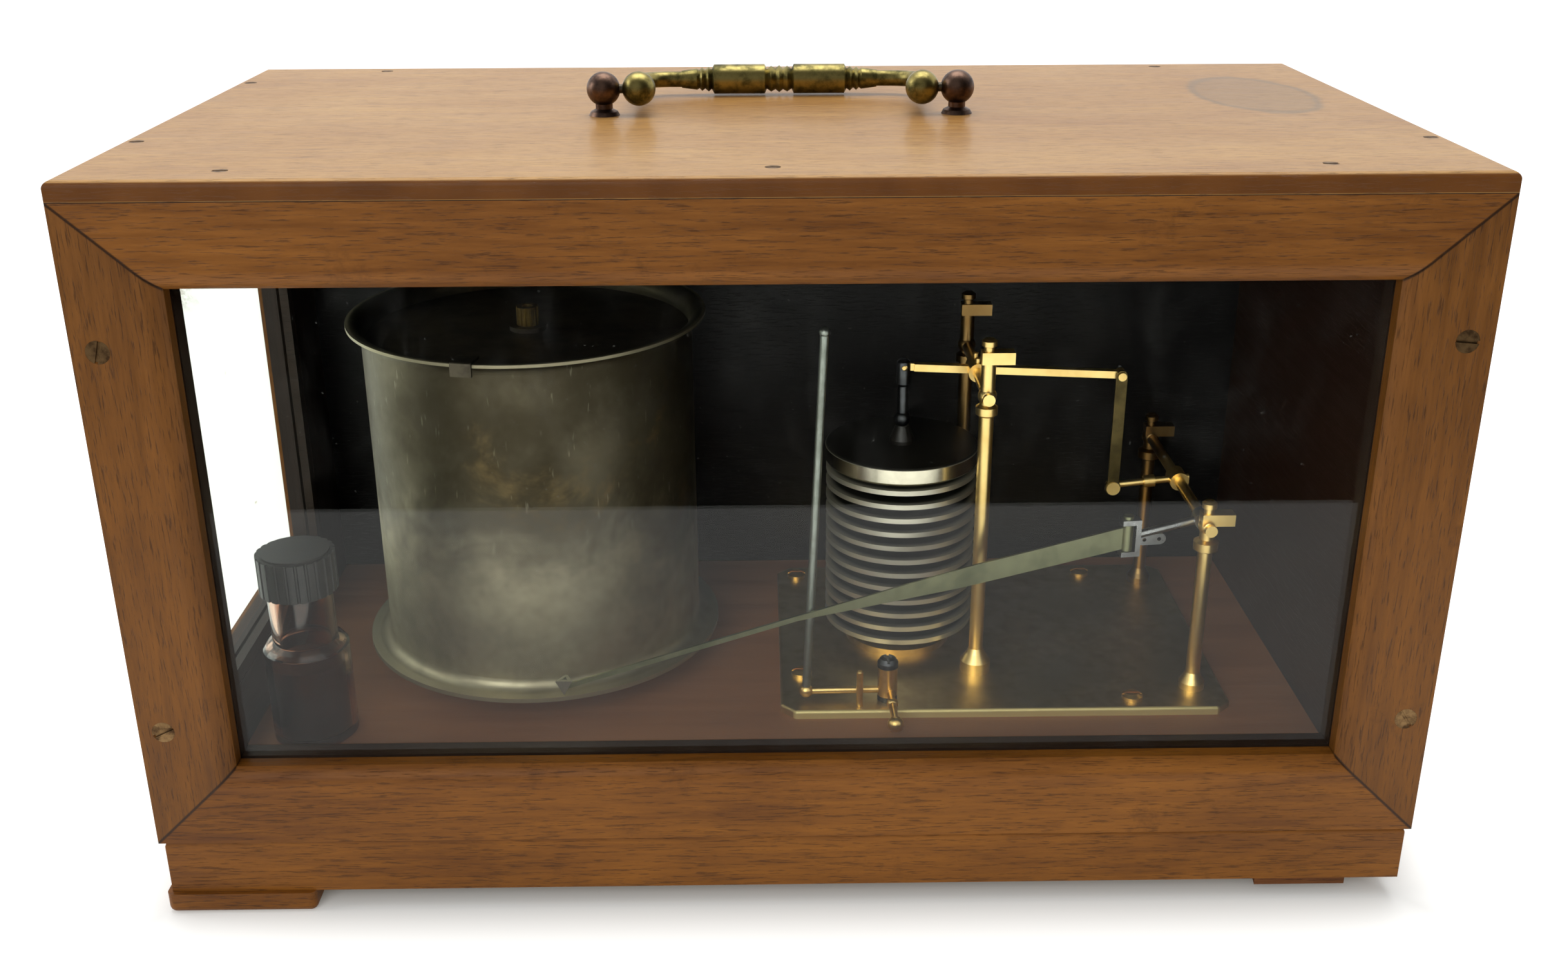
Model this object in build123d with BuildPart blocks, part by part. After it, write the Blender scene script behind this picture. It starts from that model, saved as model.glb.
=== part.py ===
from build123d import *
import math
import os

# Barograph: a recording aneroid barometer with a glazed wooden cover that lifts off its base
# Millimetres, +Z up, origin on the table under the middle of the case, front towards -Y

os.makedirs("parts", exist_ok=True)

# Case. Its width and depth follow from what it holds and the room left beside that.
cover_h = 158.3
foot_h = 5.5
foot_side = 36.0
foot_overhang = 0.3
foot_round = 1.8
base_h = 14.5
base_inset = 1.0
base_round = 1.8
plinth_h = 3.0
plinth_gap = 0.5
top_t = 4.5
top_round = 1.6
frame_t = 13.0
stile_w = 20.4
top_rail_w = 18.6
bottom_rail_w = 19.6
side_t = 9.5
back_t = 10.0
bevel_w = 5.5
bevel_d = 2.6
rebate_w = 4.5
rebate_d = 7.0
side_rebate_d = 4.4
glass_t = 2.0
glass_gap = 0.3
bead_w = 4.0
side_stile_front = 21.5
side_stile_back = 37.0
side_rail_top = 17.0
side_rail_bottom = 24.0
bottle_side_room = 6.2
bed_side_room = 20.5
bed_back_room = 10.5
drum_back_room = 5.7

# Case screws
frame_screw_r = 1.6
frame_screw_head_r = 2.6
frame_screw_len = 22.0
frame_screw_edge = 5.7
frame_screw_high = 31.5
frame_screw_low = 30.5
top_screw_r = 1.0
top_screw_head_r = 1.7
top_screw_len = 12.0
top_screw_front = 10.0
top_screw_back = 6.5
top_screw_side = 3.8
top_screw_middle = -2.5
top_screw_front_left = 33.0
top_screw_front_right = 36.0
top_screw_back_left = 37.0
top_screw_back_right = 40.0
top_screw_side_front_left = 44.0
top_screw_side_front_right = 39.0
top_screw_side_back = 28.0
screw_slot_w = 0.7
fit_gap = 0.03
run_gap = 0.05

# Carrying handle
handle_span = 86.4
handle_y = -4.6
handle_axis_h = 6.3
post_ball_r = 4.1
bail_ball_r = 4.1
post_foot_r = 3.8
post_foot_h = 1.6
post_stud_r = 1.8
post_nut_r = 3.4
post_nut_h = 1.6
bail_pin_r = 1.1
bail_pin_depth = 2.4
ball_gap = 0.4
bail_drop = 31.0
bail_rest_gap = 0.3
bail_rod_r = 2.0
bail_bend_r = 8.0
grip_r = 3.75
grip_len = 51.0
grip_bead_r = 3.0
grip_middle = 6.4
grip_barrel = 13.8
grip_beads = 3.9
grip_socket = 9.0

# Bed plate and the two pairs of posts
bed_t = 2.3
bed_left = -1.0
bed_right = 120.0
bed_front = -30.5
bed_depth = 90.5
bed_corner = 4.0
bed_round = 0.9
bed_screw_r = 1.5
bed_screw_head_r = 2.8
bed_screw_len = 8.0
bed_screw_left = 6.0
bed_screw_right = 26.0
bed_screw_front = 5.5
bed_screw_back = 7.0
bed_screw_shift = 15.0
works_y = 14.5
lever_x = 53.5
lever_pivot_z = 106.0
lever_post_gap = 45.0
pen_x = 111.5
pen_pivot_z = 73.2
pen_post_gap = 67.0
post_r = 1.95
post_shank_r = 1.5
lever_foot_r = 4.2
lever_foot_h = 5.4
pen_foot_r = 3.5
pen_foot_h = 3.2
post_collar_r = 2.9
pen_collar_r = 3.25
lever_bar_rise = 9.0
pen_bar_rise = 0.6
cap_screw_r = 2.0
cap_screw_shank = 2.3
pivot_ball_r = 2.5
post_bar_h = 3.2
post_bar_reach = 6.6
post_bar_w = 4.0
pivot_screw_r = 0.9
pivot_nose_r = 0.6
pivot_nose_len = 1.6
arbor_r = 1.5
arbor_end_gap = 0.3
lever_hub_half = 4.0
crank_hub_half = 3.0

# Aneroid capsules
capsule_r = 21.0
capsule_count = 12
capsule_pitch = 4.08
capsule_boss_r = 4.0
stack_foot_r = 15.0
stack_foot_t = 2.6
stack_foot_h = 5.6
cap_disc_h = 5.1
cap_disc_r = 21.3
stem_ball_r = 2.3
stem_r = 1.45
stem_fork_r = 1.95
stem_foot_r = 3.5
stem_ball_rise = 6.9

# Lever, link and crank
lever_left = 20.0
lever_right = 39.7
lever_tilt = 2.6
lever_h = 2.0
lever_w = 2.4
tongue_t = 1.1
joint_pin_r = 0.55
fork_gap = 0.15
pin_travel = 0.3
link_side_gap = 0.25
link_t = 0.8
link_w = 3.1
link_eye_r = 2.2
open_pivot_gap = 0.75
crank_reach = 18.5
crank_sink = 1.9
crank_r = 0.95
crank_collar_r = 1.7

# Pen arm, gate and pen
hub_y = -14.0
hub_r = 2.6
hub_len = 4.2
hub_rod_r = 1.1
plate_len = 7.8
plate_w = 3.1
gate_reach = 20.5
gate_h = 10.4
gate_pin_r = 0.6
gate_barrel_r = 1.5
ear_t = 1.4
gate_side_gap = 0.3
gate_end_gap = 0.15
gate_ear_len = 3.7
gate_ear_w = 3.2
blade_t = 0.7
blade_h = 6.1
blade_mid_h = 5.6
blade_tip_h = 1.6
blade_mid = 64.0
blade_end = 105.5
wire_h = 1.4
nib_x = -57.6
nib_stem = 5.3
nib_z = 35.9
nib_w = 4.4
nib_h = 4.1
nib_air = 1.693
nib_back = 0.9
slot_room = 1.4
arm_slope = 0.2
bend_reach = 109.3

# Pen lifter
lifter_x = 27.8
lifter_y = -24.0
lifter_hub_r = 2.65
lifter_hub_h = 8.4
lifter_hub_z = 26.8
lifter_stud_r = 1.5
lifter_head_r = 2.8
lifter_arm_z = 28.2
lifter_arm_r = 1.0
lifter_rod_x = 5.9
lifter_rod_y = -24.4
lifter_rod_r = 1.1
lifter_rod_top = 128.6
lifter_rod_lean = 2.5
lifter_end_r = 1.9
knob_x = 28.6
knob_reach = 18.5
knob_stem_r = 1.0
knob_near_r = 1.55
knob_far_r = 2.15
stop_pin_x = 20.1
stop_pin_y = -27.75
stop_pin_r = 0.9
stop_pin_h = 10.5

# Chart drum and its clock
drum_x = -68.2
drum_y = 15.2
drum_r = 44.1
drum_wall = 0.8
drum_bottom = 31.0
drum_h = 92.3
flange_reach = 5.5
flange_t = 1.2
flange_flare = 2.8
rim_reach = 3.7
rim_flare = 3.0
lid_sink = 5.0
lid_hub_r = 5.0
lid_hub_h = 1.2
clip_angle = -102.0
clip_w = 5.5
clip_t = 0.7
drum_nut_r = 3.0
drum_nut_rise = 1.3
plate_t = 1.5
spindle_r = 2.5
spindle_foot_r = 12.0
spindle_foot_h = 3.0
spindle_thread_r = 1.5
wheel_seat_r = 6.0
wheel_t = 2.0
wheel_z = 27.4
gear_module = 0.9
wheel_teeth = 40
pinion_teeth = 10
tooth_backlash = 0.3
pinion_t = 2.6
pinion_arbor_r = 1.0
clock_lower_z = 32.5
clock_upper_z = 60.0
clock_room = 3.3
pillar_r = 2.0
pillar_inset = 6.0
barrel_side_room = 2.0
barrel_axis_room = 6.0

# Ink bottle
bottle_x = -123.5
bottle_y = -33.5
bottle_r = 10.8
bottle_body_h = 27.5
neck_r = 8.2
neck_top_h = 49.5
bottle_wall = 1.6
bottle_floor = 2.4
ink_cap_r = 9.8
ink_cap_h = 10.3
ink_cap_seat = 41.7
ink_cap_gap = 0.25
cap_ribs = 24

# Levels and inner faces worked out from the sizes above
flange_r = drum_r + flange_reach
rim_r = drum_r + rim_reach
clock_upper_r = drum_r - drum_wall - clock_room
pillar_ring = clock_upper_r - pillar_inset
barrel_r = (clock_upper_r - barrel_side_room - barrel_axis_room) / 2
barrel_offset = barrel_axis_room + barrel_r
nib_tip_y = drum_y - math.sqrt(drum_r**2 - (nib_x - drum_x) ** 2) - nib_air
nib_y = nib_tip_y - nib_stem
half_w = side_t + max(bottle_r - bottle_x + bottle_side_room, bed_right + bed_side_room)
half_d = back_t + max(drum_y + flange_r + drum_back_room, bed_front + bed_depth + bed_back_room)
case_w = 2 * half_w
case_d = 2 * half_d
base_z = foot_h
joint_z = base_z + base_h
floor_z = joint_z + plinth_h
top_z = joint_z + cover_h
frame_top_z = top_z - top_t
front_y = -case_d / 2
back_y = case_d / 2
inner_front_y = front_y + frame_t
inner_back_y = back_y - back_t
inner_x = case_w / 2 - side_t
window_low = joint_z + bottom_rail_w
window_high = frame_top_z - top_rail_w
window_x = case_w / 2 - stile_w
bed_z = floor_z + bed_t
stack_x = lever_x - lever_left * math.cos(math.radians(lever_tilt))
stack_base_z = bed_z + stack_foot_h
stack_top_z = stack_base_z + capsule_count * capsule_pitch
cap_top_z = stack_top_z + cap_disc_h
drum_top = drum_bottom + drum_h
drum_tube_low = drum_bottom + flange_t + flange_flare
drum_tube_high = drum_top - drum_wall - rim_flare
lid_z = drum_top - lid_sink
drum_nut_top = drum_top + drum_nut_rise
pinion_distance = gear_module * (wheel_teeth + pinion_teeth) / 2
handle_z = top_z + handle_axis_h


def finish(piece, name):
    piece.label = name
    export_step(piece, f"parts/{name}.step")


# Shapes used by several pieces
def turned(x, y, outline):
    # Outline of radius and height pairs, closed along the vertical through x and y
    with BuildSketch(Plane((x, y, 0), x_dir=(1, 0, 0), z_dir=(0, -1, 0))) as half:
        with BuildLine():
            Polyline((0, outline[0][1]), *outline, (0, outline[-1][1]), close=True)
        make_face()
    revolve(half.sketch, axis=Axis((x, y, 0), (0, 0, 1)))


def rod(start, end, radius, mode=Mode.ADD):
    line = Vector(*end) - Vector(*start)
    with Locations(Plane(start, z_dir=line)):
        Cylinder(radius, line.length, align=(Align.CENTER, Align.CENTER, Align.MIN), mode=mode)


def ball(x, y, z, radius):
    with Locations(Pos(x, y, z)):
        Sphere(radius)


# Base board: moulded slab with a raised plinth that the cover fits around
def make_base_board():
    with BuildPart() as base_board:
        with BuildSketch(Plane.XY.offset(base_z)):
            Rectangle(case_w - 2 * base_inset, case_d - 2 * base_inset)
        extrude(amount=base_h)
        upper = base_board.faces().sort_by(Axis.Z)[-1]
        fillet(upper.edges(), base_round)
        with BuildSketch(Plane.XY.offset(joint_z)):
            with Locations((0, (inner_front_y + inner_back_y) / 2)):
                Rectangle(
                    2 * (inner_x - plinth_gap),
                    inner_back_y - inner_front_y - 2 * plinth_gap,
                )
        extrude(amount=plinth_h)
        # Pilot holes under the bed plate screws
        with Locations(*[Pos(x, y, floor_z) for x, y in bed_screw_places()]):
            Hole(bed_screw_r + fit_gap, depth=bed_screw_len + 1)
    return base_board.part


def bed_screw_places():
    left, right = bed_left + bed_screw_left, bed_right - bed_screw_right
    near, far = bed_front + bed_screw_front, bed_front + bed_depth - bed_screw_back
    return [(left, near + bed_screw_shift), (right, near), (left, far), (right, far)]


# Feet: three square pads, and the torn remnant of the front right one
def make_feet():
    foot_x = case_w / 2 + foot_overhang - foot_side / 2
    foot_y = case_d / 2 + foot_overhang - foot_side / 2
    with BuildPart() as feet:
        with BuildSketch():
            with Locations((-foot_x, -foot_y), (-foot_x, foot_y), (foot_x, foot_y)):
                RectangleRounded(foot_side, foot_side, foot_round)
        extrude(amount=foot_h)
        lower = feet.faces().group_by(Axis.Z)[0]
        fillet(lower.edges(), foot_round)
    return feet.part


def make_foot_stub():
    stub_w = 22.0
    stub_t = 1.7
    stub_x = case_w / 2 - foot_side
    with BuildPart() as foot_stub:
        with BuildSketch(Plane.XY.offset(base_z)):
            with BuildLine():
                Polyline(
                    (stub_x, front_y + base_inset),
                    (stub_x + stub_w, front_y + base_inset),
                    (stub_x + stub_w - 3.5, front_y + 5.0),
                    (stub_x + stub_w - 8.0, front_y + 6.5),
                    (stub_x + stub_w - 12.0, front_y + 11.0),
                    (stub_x + 5.0, front_y + 9.0),
                    (stub_x + 1.5, front_y + 12.5),
                    close=True,
                )
            make_face()
        extrude(amount=-stub_t)
        chamfer(foot_stub.faces().sort_by(Axis.Z)[0].edges().sort_by(Axis.Y)[-2:], 0.6)
    return foot_stub.part


# Front frame: four mitred members, rounded towards the glass, with a rebate behind it
def frame_screw_places():
    edge = case_w / 2 - frame_screw_edge
    heights = (joint_z + frame_screw_low, frame_top_z - frame_screw_high)
    return [(side * edge, z) for side in (-1, 1) for z in heights]


def top_screw_places():
    near, far = front_y + top_screw_front, back_y - top_screw_back
    edge = half_w - top_screw_side
    left, right = top_screw_front_left - half_w, half_w - top_screw_front_right
    front = [(left, near), (top_screw_middle, near), (right, near)]
    back = [(top_screw_back_left - half_w, far), (half_w - top_screw_back_right, far)]
    sides = [
        (-edge, front_y + top_screw_side_front_left),
        (edge, front_y + top_screw_side_front_right),
        (-edge, back_y - top_screw_side_back),
    ]
    return front + back + sides


def drill_top_screws():
    with Locations(*[Pos(x, y, frame_top_z) for x, y in top_screw_places()]):
        Hole(top_screw_r + fit_gap, depth=top_screw_len)


def drill_frame_screws():
    for x, z in frame_screw_places():
        with Locations(Plane(origin=(x, inner_front_y, z), z_dir=(0, -1, 0))):
            Hole(frame_screw_r + fit_gap, depth=frame_screw_len - frame_t)


def make_frame_member(outer_edge, width, corners):
    # The plane's x runs from the outer edge inwards and its y from the back to the front
    bulge = bevel_d * 0.3
    with BuildPart() as member:
        with BuildSketch(outer_edge):
            with BuildLine():
                Polyline(
                    (width, frame_t - bevel_d),
                    (width, rebate_d),
                    (width - rebate_w, rebate_d),
                    (width - rebate_w, 0),
                    (0, 0),
                    (0, frame_t),
                    (width - bevel_w, frame_t),
                )
                ThreePointArc(
                    (width - bevel_w, frame_t),
                    (width - bevel_w / 2 + bulge / 2, frame_t - bevel_d / 2 + bulge),
                    (width, frame_t - bevel_d),
                )
            make_face()
        extrude(amount=case_w / 2, both=True)
        with BuildSketch(Plane.XZ.offset(-back_y)):
            with BuildLine():
                Polyline(*corners, close=True)
            make_face()
        extrude(amount=2 * case_d, mode=Mode.INTERSECT)
    return member.part


def make_front_frame():
    outer, inner = case_w / 2, window_x
    middle = (joint_z + frame_top_z) / 2
    low, high = (joint_z, window_low), (frame_top_z, window_high)
    left = Plane((-outer, inner_front_y, middle), x_dir=(1, 0, 0), z_dir=(0, 0, -1))
    right = Plane((outer, inner_front_y, middle), x_dir=(-1, 0, 0), z_dir=(0, 0, 1))
    bottom = Plane((0, inner_front_y, joint_z), x_dir=(0, 0, 1), z_dir=(1, 0, 0))
    top = Plane((0, inner_front_y, frame_top_z), x_dir=(0, 0, -1), z_dir=(-1, 0, 0))
    for side, plane, name in ((-1, left, "frame_stile_left"), (1, right, "frame_stile_right")):
        lower = [(side * outer, low[0]), (side * inner, low[1])]
        upper = [(side * inner, high[1]), (side * outer, high[0])]
        ends = lower + upper
        member = make_frame_member(plane, stile_w, ends)
        with BuildPart() as stile:
            add(member)
            for x, z in frame_screw_places():
                if x * side > 0:
                    with Locations(Plane((x, front_y, z), x_dir=(1, 0, 0), z_dir=(0, -1, 0))):
                        CounterSinkHole(
                            frame_screw_r + fit_gap, frame_screw_head_r + fit_gap, frame_t, 90
                        )
        finish(stile.part, name)
    for level, plane, width, name in (
        (low, bottom, bottom_rail_w, "frame_rail_bottom"),
        (high, top, top_rail_w, "frame_rail_top"),
    ):
        ends = [(-outer, level[0]), (outer, level[0]), (inner, level[1]), (-inner, level[1])]
        member = make_frame_member(plane, width, ends)
        with BuildPart() as rail:
            add(member)
            drill_top_screws()
        finish(rail.part, name)


# Panes and the beads that hold them in their rebates
side_window_front = inner_front_y + side_stile_front
side_window_back = back_y - side_stile_back
side_window_low = joint_z + side_rail_bottom
side_window_high = frame_top_z - side_rail_top
side_window_middle = (
    (side_window_front + side_window_back) / 2,
    (side_window_low + side_window_high) / 2,
)
side_window_w = side_window_back - side_window_front
side_window_h = side_window_high - side_window_low
side_plane = Plane((-inner_x, 0, 0), x_dir=(0, 1, 0), z_dir=(1, 0, 0))
front_window_middle = (0, (window_low + window_high) / 2)
pane_edge = rebate_w - glass_gap


def make_front_glass():
    with BuildPart() as front_glass:
        with BuildSketch(Plane.XZ.offset(-(inner_front_y - rebate_d + glass_t))):
            with Locations(front_window_middle):
                Rectangle(2 * (window_x + pane_edge), window_high - window_low + 2 * pane_edge)
        extrude(amount=glass_t)
    return front_glass.part


def make_side_glass():
    with BuildPart() as side_glass:
        with BuildSketch(side_plane.offset(-side_rebate_d)):
            with Locations(side_window_middle):
                Rectangle(side_window_w + 2 * pane_edge, side_window_h + 2 * pane_edge)
        extrude(amount=glass_t)
    return side_glass.part


def make_bead_ring(plane, middle, width, height, depth):
    with BuildPart() as ring:
        with BuildSketch(plane):
            with Locations(middle):
                Rectangle(width, height)
                Rectangle(width - 2 * bead_w, height - 2 * bead_w, mode=Mode.SUBTRACT)
        extrude(amount=depth)
    return ring.part


def make_glazing_beads():
    with BuildPart() as glazing_beads:
        add(
            make_bead_ring(
                Plane.XZ.offset(-inner_front_y),
                front_window_middle,
                2 * (window_x + pane_edge),
                window_high - window_low + 2 * pane_edge,
                rebate_d - glass_t,
            )
        )
        add(
            make_bead_ring(
                side_plane,
                side_window_middle,
                side_window_w + 2 * pane_edge,
                side_window_h + 2 * pane_edge,
                glass_t - side_rebate_d,
            )
        )
    return glazing_beads.part


# Left side: two stiles and two rails round a second window
def cut_side_rebate():
    with BuildSketch(side_plane) as rebate:
        with Locations(side_window_middle):
            Rectangle(side_window_w + 2 * rebate_w, side_window_h + 2 * rebate_w)
    extrude(rebate.sketch, amount=-side_rebate_d, mode=Mode.SUBTRACT)


def make_side_stiles():
    height = frame_top_z - joint_z
    with BuildPart() as side_stiles:
        with BuildSketch(side_plane):
            with Locations((inner_front_y, joint_z)):
                Rectangle(side_stile_front, height, align=Align.MIN)
            with Locations((side_window_back, joint_z)):
                Rectangle(side_stile_back, height, align=Align.MIN)
        extrude(amount=-side_t)
        cut_side_rebate()
        drill_frame_screws()
        drill_top_screws()
    return side_stiles.part


def make_side_rails():
    with BuildPart() as side_rails:
        with BuildSketch(side_plane):
            with Locations((side_window_front, joint_z)):
                Rectangle(side_window_w, side_rail_bottom, align=Align.MIN)
            with Locations((side_window_front, side_window_high)):
                Rectangle(side_window_w, side_rail_top, align=Align.MIN)
        extrude(amount=-side_t)
        cut_side_rebate()
        drill_top_screws()
    return side_rails.part


# Right side and back: plain boards
def make_side_panel():
    with BuildPart() as side_panel:
        with BuildSketch(Plane.YZ.offset(inner_x)):
            with Locations((inner_front_y, joint_z)):
                Rectangle(back_y - inner_front_y, frame_top_z - joint_z, align=Align.MIN)
        extrude(amount=side_t)
        drill_frame_screws()
        drill_top_screws()
    return side_panel.part


def make_back_panel():
    with BuildPart() as back_panel:
        with BuildSketch(Plane.XY.offset(joint_z)):
            with Locations((0, inner_back_y + back_t / 2)):
                Rectangle(2 * inner_x, back_t)
        extrude(amount=frame_top_z - joint_z)
        drill_top_screws()
    return back_panel.part


# Top board with rounded edges, drilled for its screws and for the handle posts
def make_top_board():
    with BuildPart() as top_board:
        with BuildSketch(Plane.XY.offset(frame_top_z)):
            Rectangle(case_w, case_d)
        extrude(amount=top_t)
        fillet(top_board.faces().sort_by(Axis.Z)[-1].edges(), top_round)
        with Locations(*[Pos(x, y, top_z) for x, y in top_screw_places()]):
            CounterSinkHole(top_screw_r + fit_gap, top_screw_head_r + fit_gap, top_t, 90)
        with Locations(*[Pos(side * handle_span / 2, handle_y, top_z) for side in (-1, 1)]):
            Hole(post_stud_r + fit_gap, depth=top_t)
    return top_board.part


# Countersunk screws: conical slotted head and plain shank
def countersunk_screw(face, shank_r, head_r, length):
    # The plane lies on the surface that the head is flush with, its z outwards
    head_h = head_r - shank_r
    with Locations(face.offset(-head_h / 2)):
        Cone(shank_r, head_r, head_h)
    with Locations(face.offset(-head_h)):
        Cylinder(shank_r, length - head_h, align=(Align.CENTER, Align.CENTER, Align.MAX))
    with Locations(face):
        Box(2 * head_r + 1, screw_slot_w, screw_slot_w, mode=Mode.SUBTRACT)


def make_frame_screws():
    with BuildPart() as frame_screws:
        for turn, (x, z) in enumerate(frame_screw_places()):
            angle = math.radians(25 + 50 * turn)
            slot = (math.cos(angle), 0, math.sin(angle))
            face = Plane((x, front_y, z), x_dir=slot, z_dir=(0, -1, 0))
            countersunk_screw(face, frame_screw_r, frame_screw_head_r, frame_screw_len)
    return frame_screws.part


def make_top_screws():
    with BuildPart() as top_screws:
        for x, y in top_screw_places():
            face = Plane((x, y, top_z))
            countersunk_screw(face, top_screw_r, top_screw_head_r, top_screw_len)
    return top_screws.part


# Carrying handle: ball-headed posts, pins, and a bail with a turned grip
def make_handle_posts():
    waist = post_foot_r * 0.55
    with BuildPart() as handle_posts:
        for side in (-1, 1):
            x = side * handle_span / 2
            turned(
                x,
                handle_y,
                [
                    (post_stud_r, frame_top_z - post_nut_h),
                    (post_stud_r, top_z),
                    (post_foot_r, top_z),
                    (post_foot_r - 0.5, top_z + post_foot_h * 0.6),
                    (waist, top_z + post_foot_h),
                    (waist, handle_z),
                ],
            )
            ball(x, handle_y, handle_z, post_ball_r)
            inner = side * (handle_span / 2 - bail_pin_depth)
            rod((inner, handle_y, handle_z), (0, handle_y, handle_z), bail_pin_r + fit_gap, Mode.SUBTRACT)
    return handle_posts.part


def make_handle_nuts():
    with BuildPart() as handle_nuts:
        with BuildSketch(Plane.XY.offset(frame_top_z)):
            with Locations((-handle_span / 2, handle_y), (handle_span / 2, handle_y)):
                RegularPolygon(post_nut_r, 6)
                Circle(post_stud_r + fit_gap, mode=Mode.SUBTRACT)
        extrude(amount=-post_nut_h)
    return handle_nuts.part


bail_ball_x = handle_span / 2 - post_ball_r - bail_ball_r - ball_gap
grip_y = handle_y + math.sqrt(bail_drop**2 - (handle_axis_h - grip_r - bail_rest_gap) ** 2)
grip_z = top_z + grip_r + bail_rest_gap


def make_handle_pivots():
    with BuildPart() as handle_pivots:
        for side in (-1, 1):
            outer = side * (handle_span / 2 - bail_pin_depth - fit_gap)
            inner = side * (bail_ball_x + bail_ball_r - bail_pin_depth)
            rod((outer, handle_y, handle_z), (inner, handle_y, handle_z), bail_pin_r)
    return handle_pivots.part


def make_handle_bail():
    # Side arms swing back from the balls and bend into the ends of the grip
    grip_end = grip_len / 2 - grip_socket + fit_gap
    with BuildPart() as handle_bail:
        for side in (-1, 1):
            start = (side * bail_ball_x, handle_y, handle_z)
            corner = (side * (bail_ball_x + 1.5), grip_y, grip_z)
            end = (side * grip_end, grip_y, grip_z)
            with BuildLine() as route:
                FilletPolyline(start, corner, end, radius=bail_bend_r)
            with BuildSketch(Plane(route.line @ 0, z_dir=route.line % 0)):
                Circle(bail_rod_r)
            sweep(path=route.line)
            ball(*start, bail_ball_r)
            near = (side * (bail_ball_x + bail_ball_r - bail_pin_depth - run_gap), handle_y, handle_z)
            far = (side * case_w, handle_y, handle_z)
            rod(near, far, bail_pin_r + run_gap, Mode.SUBTRACT)
    return handle_bail.part


def make_handle_grip():
    # Two barrels with a pair of beads and a taper outside each and three beads in the middle
    start = grip_middle / 2
    end = start + grip_barrel
    neck = end + grip_beads
    half = [
        (bail_rod_r + 0.2, grip_len / 2),
        (grip_bead_r * 0.9, neck + 0.6),
        (grip_bead_r * 0.78, neck),
        (grip_bead_r, neck - 0.7),
        (grip_bead_r * 0.8, neck - 1.5),
        (grip_bead_r * 1.06, neck - 2.4),
        (grip_bead_r * 0.85, neck - 3.2),
        (grip_r, end),
        (grip_r, start + 0.6),
        (grip_bead_r * 0.85, start),
        (grip_bead_r * 1.1, start - 1.1),
        (grip_bead_r * 0.9, start - 2.2),
        (grip_bead_r * 1.15, 0),
    ]
    other_half = [(radius, -place) for radius, place in reversed(half[:-1])]
    with BuildPart() as handle_grip:
        with BuildSketch(Plane((0, grip_y, grip_z), x_dir=(0, 1, 0), z_dir=(0, 0, 1))):
            with BuildLine():
                Polyline((0, half[0][1]), *half, *other_half, (0, -half[0][1]), close=True)
            make_face()
        revolve(axis=Axis((0, grip_y, grip_z), (1, 0, 0)))
        bore = grip_len / 2 - grip_socket
        for side in (-1, 1):
            start, end = (side * bore, grip_y, grip_z), (side * grip_len, grip_y, grip_z)
            rod(start, end, bail_rod_r + fit_gap, Mode.SUBTRACT)
    return handle_grip.part


# Bed plate and its screws
def make_bed_plate():
    with BuildPart() as bed_plate:
        with BuildSketch(Plane.XY.offset(floor_z)):
            with Locations((bed_left, bed_front)):
                Rectangle(bed_right - bed_left, bed_depth, align=Align.MIN)
        extrude(amount=bed_t)
        chamfer(bed_plate.edges().filter_by(Axis.Z), bed_corner)
        fillet(bed_plate.faces().sort_by(Axis.Z)[-1].edges(), bed_round)
        with Locations(*[Pos(x, y, bed_z) for x, y in bed_screw_places()]):
            Hole(bed_screw_r + fit_gap, depth=bed_t)
        for x, y, radius in bed_seats():
            with Locations(Pos(x, y, bed_z)):
                Hole(radius + fit_gap, depth=bed_t)
    return bed_plate.part


def bed_seats():
    # Every post, foot and pin is riveted through the plate by a shank of this radius
    seats = [(x, y, post_shank_r) for x, y in post_places()]
    seats += [(stack_x, works_y, post_shank_r), (lifter_x, lifter_y, lifter_stud_r)]
    seats += [(stop_pin_x, stop_pin_y, stop_pin_r)]
    return seats


def post_places():
    places = [(lever_x, works_y + side * lever_post_gap / 2) for side in (-1, 1)]
    places += [(pen_x, works_y + side * pen_post_gap / 2) for side in (-1, 1)]
    return places


def make_bed_screws():
    with BuildPart() as bed_screws:
        for x, y in bed_screw_places():
            turned(
                x,
                y,
                [
                    (bed_screw_r, floor_z - bed_screw_len),
                    (bed_screw_r, bed_z),
                    (bed_screw_head_r, bed_z),
                    (bed_screw_head_r, bed_z + 1.0),
                    (bed_screw_head_r * 0.6, bed_z + 1.7),
                ],
            )
            with Locations(Pos(x, y, bed_z + 1.7)):
                Box(2 * bed_screw_head_r, screw_slot_w, 1.4, mode=Mode.SUBTRACT)
    return bed_screws.part


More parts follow.
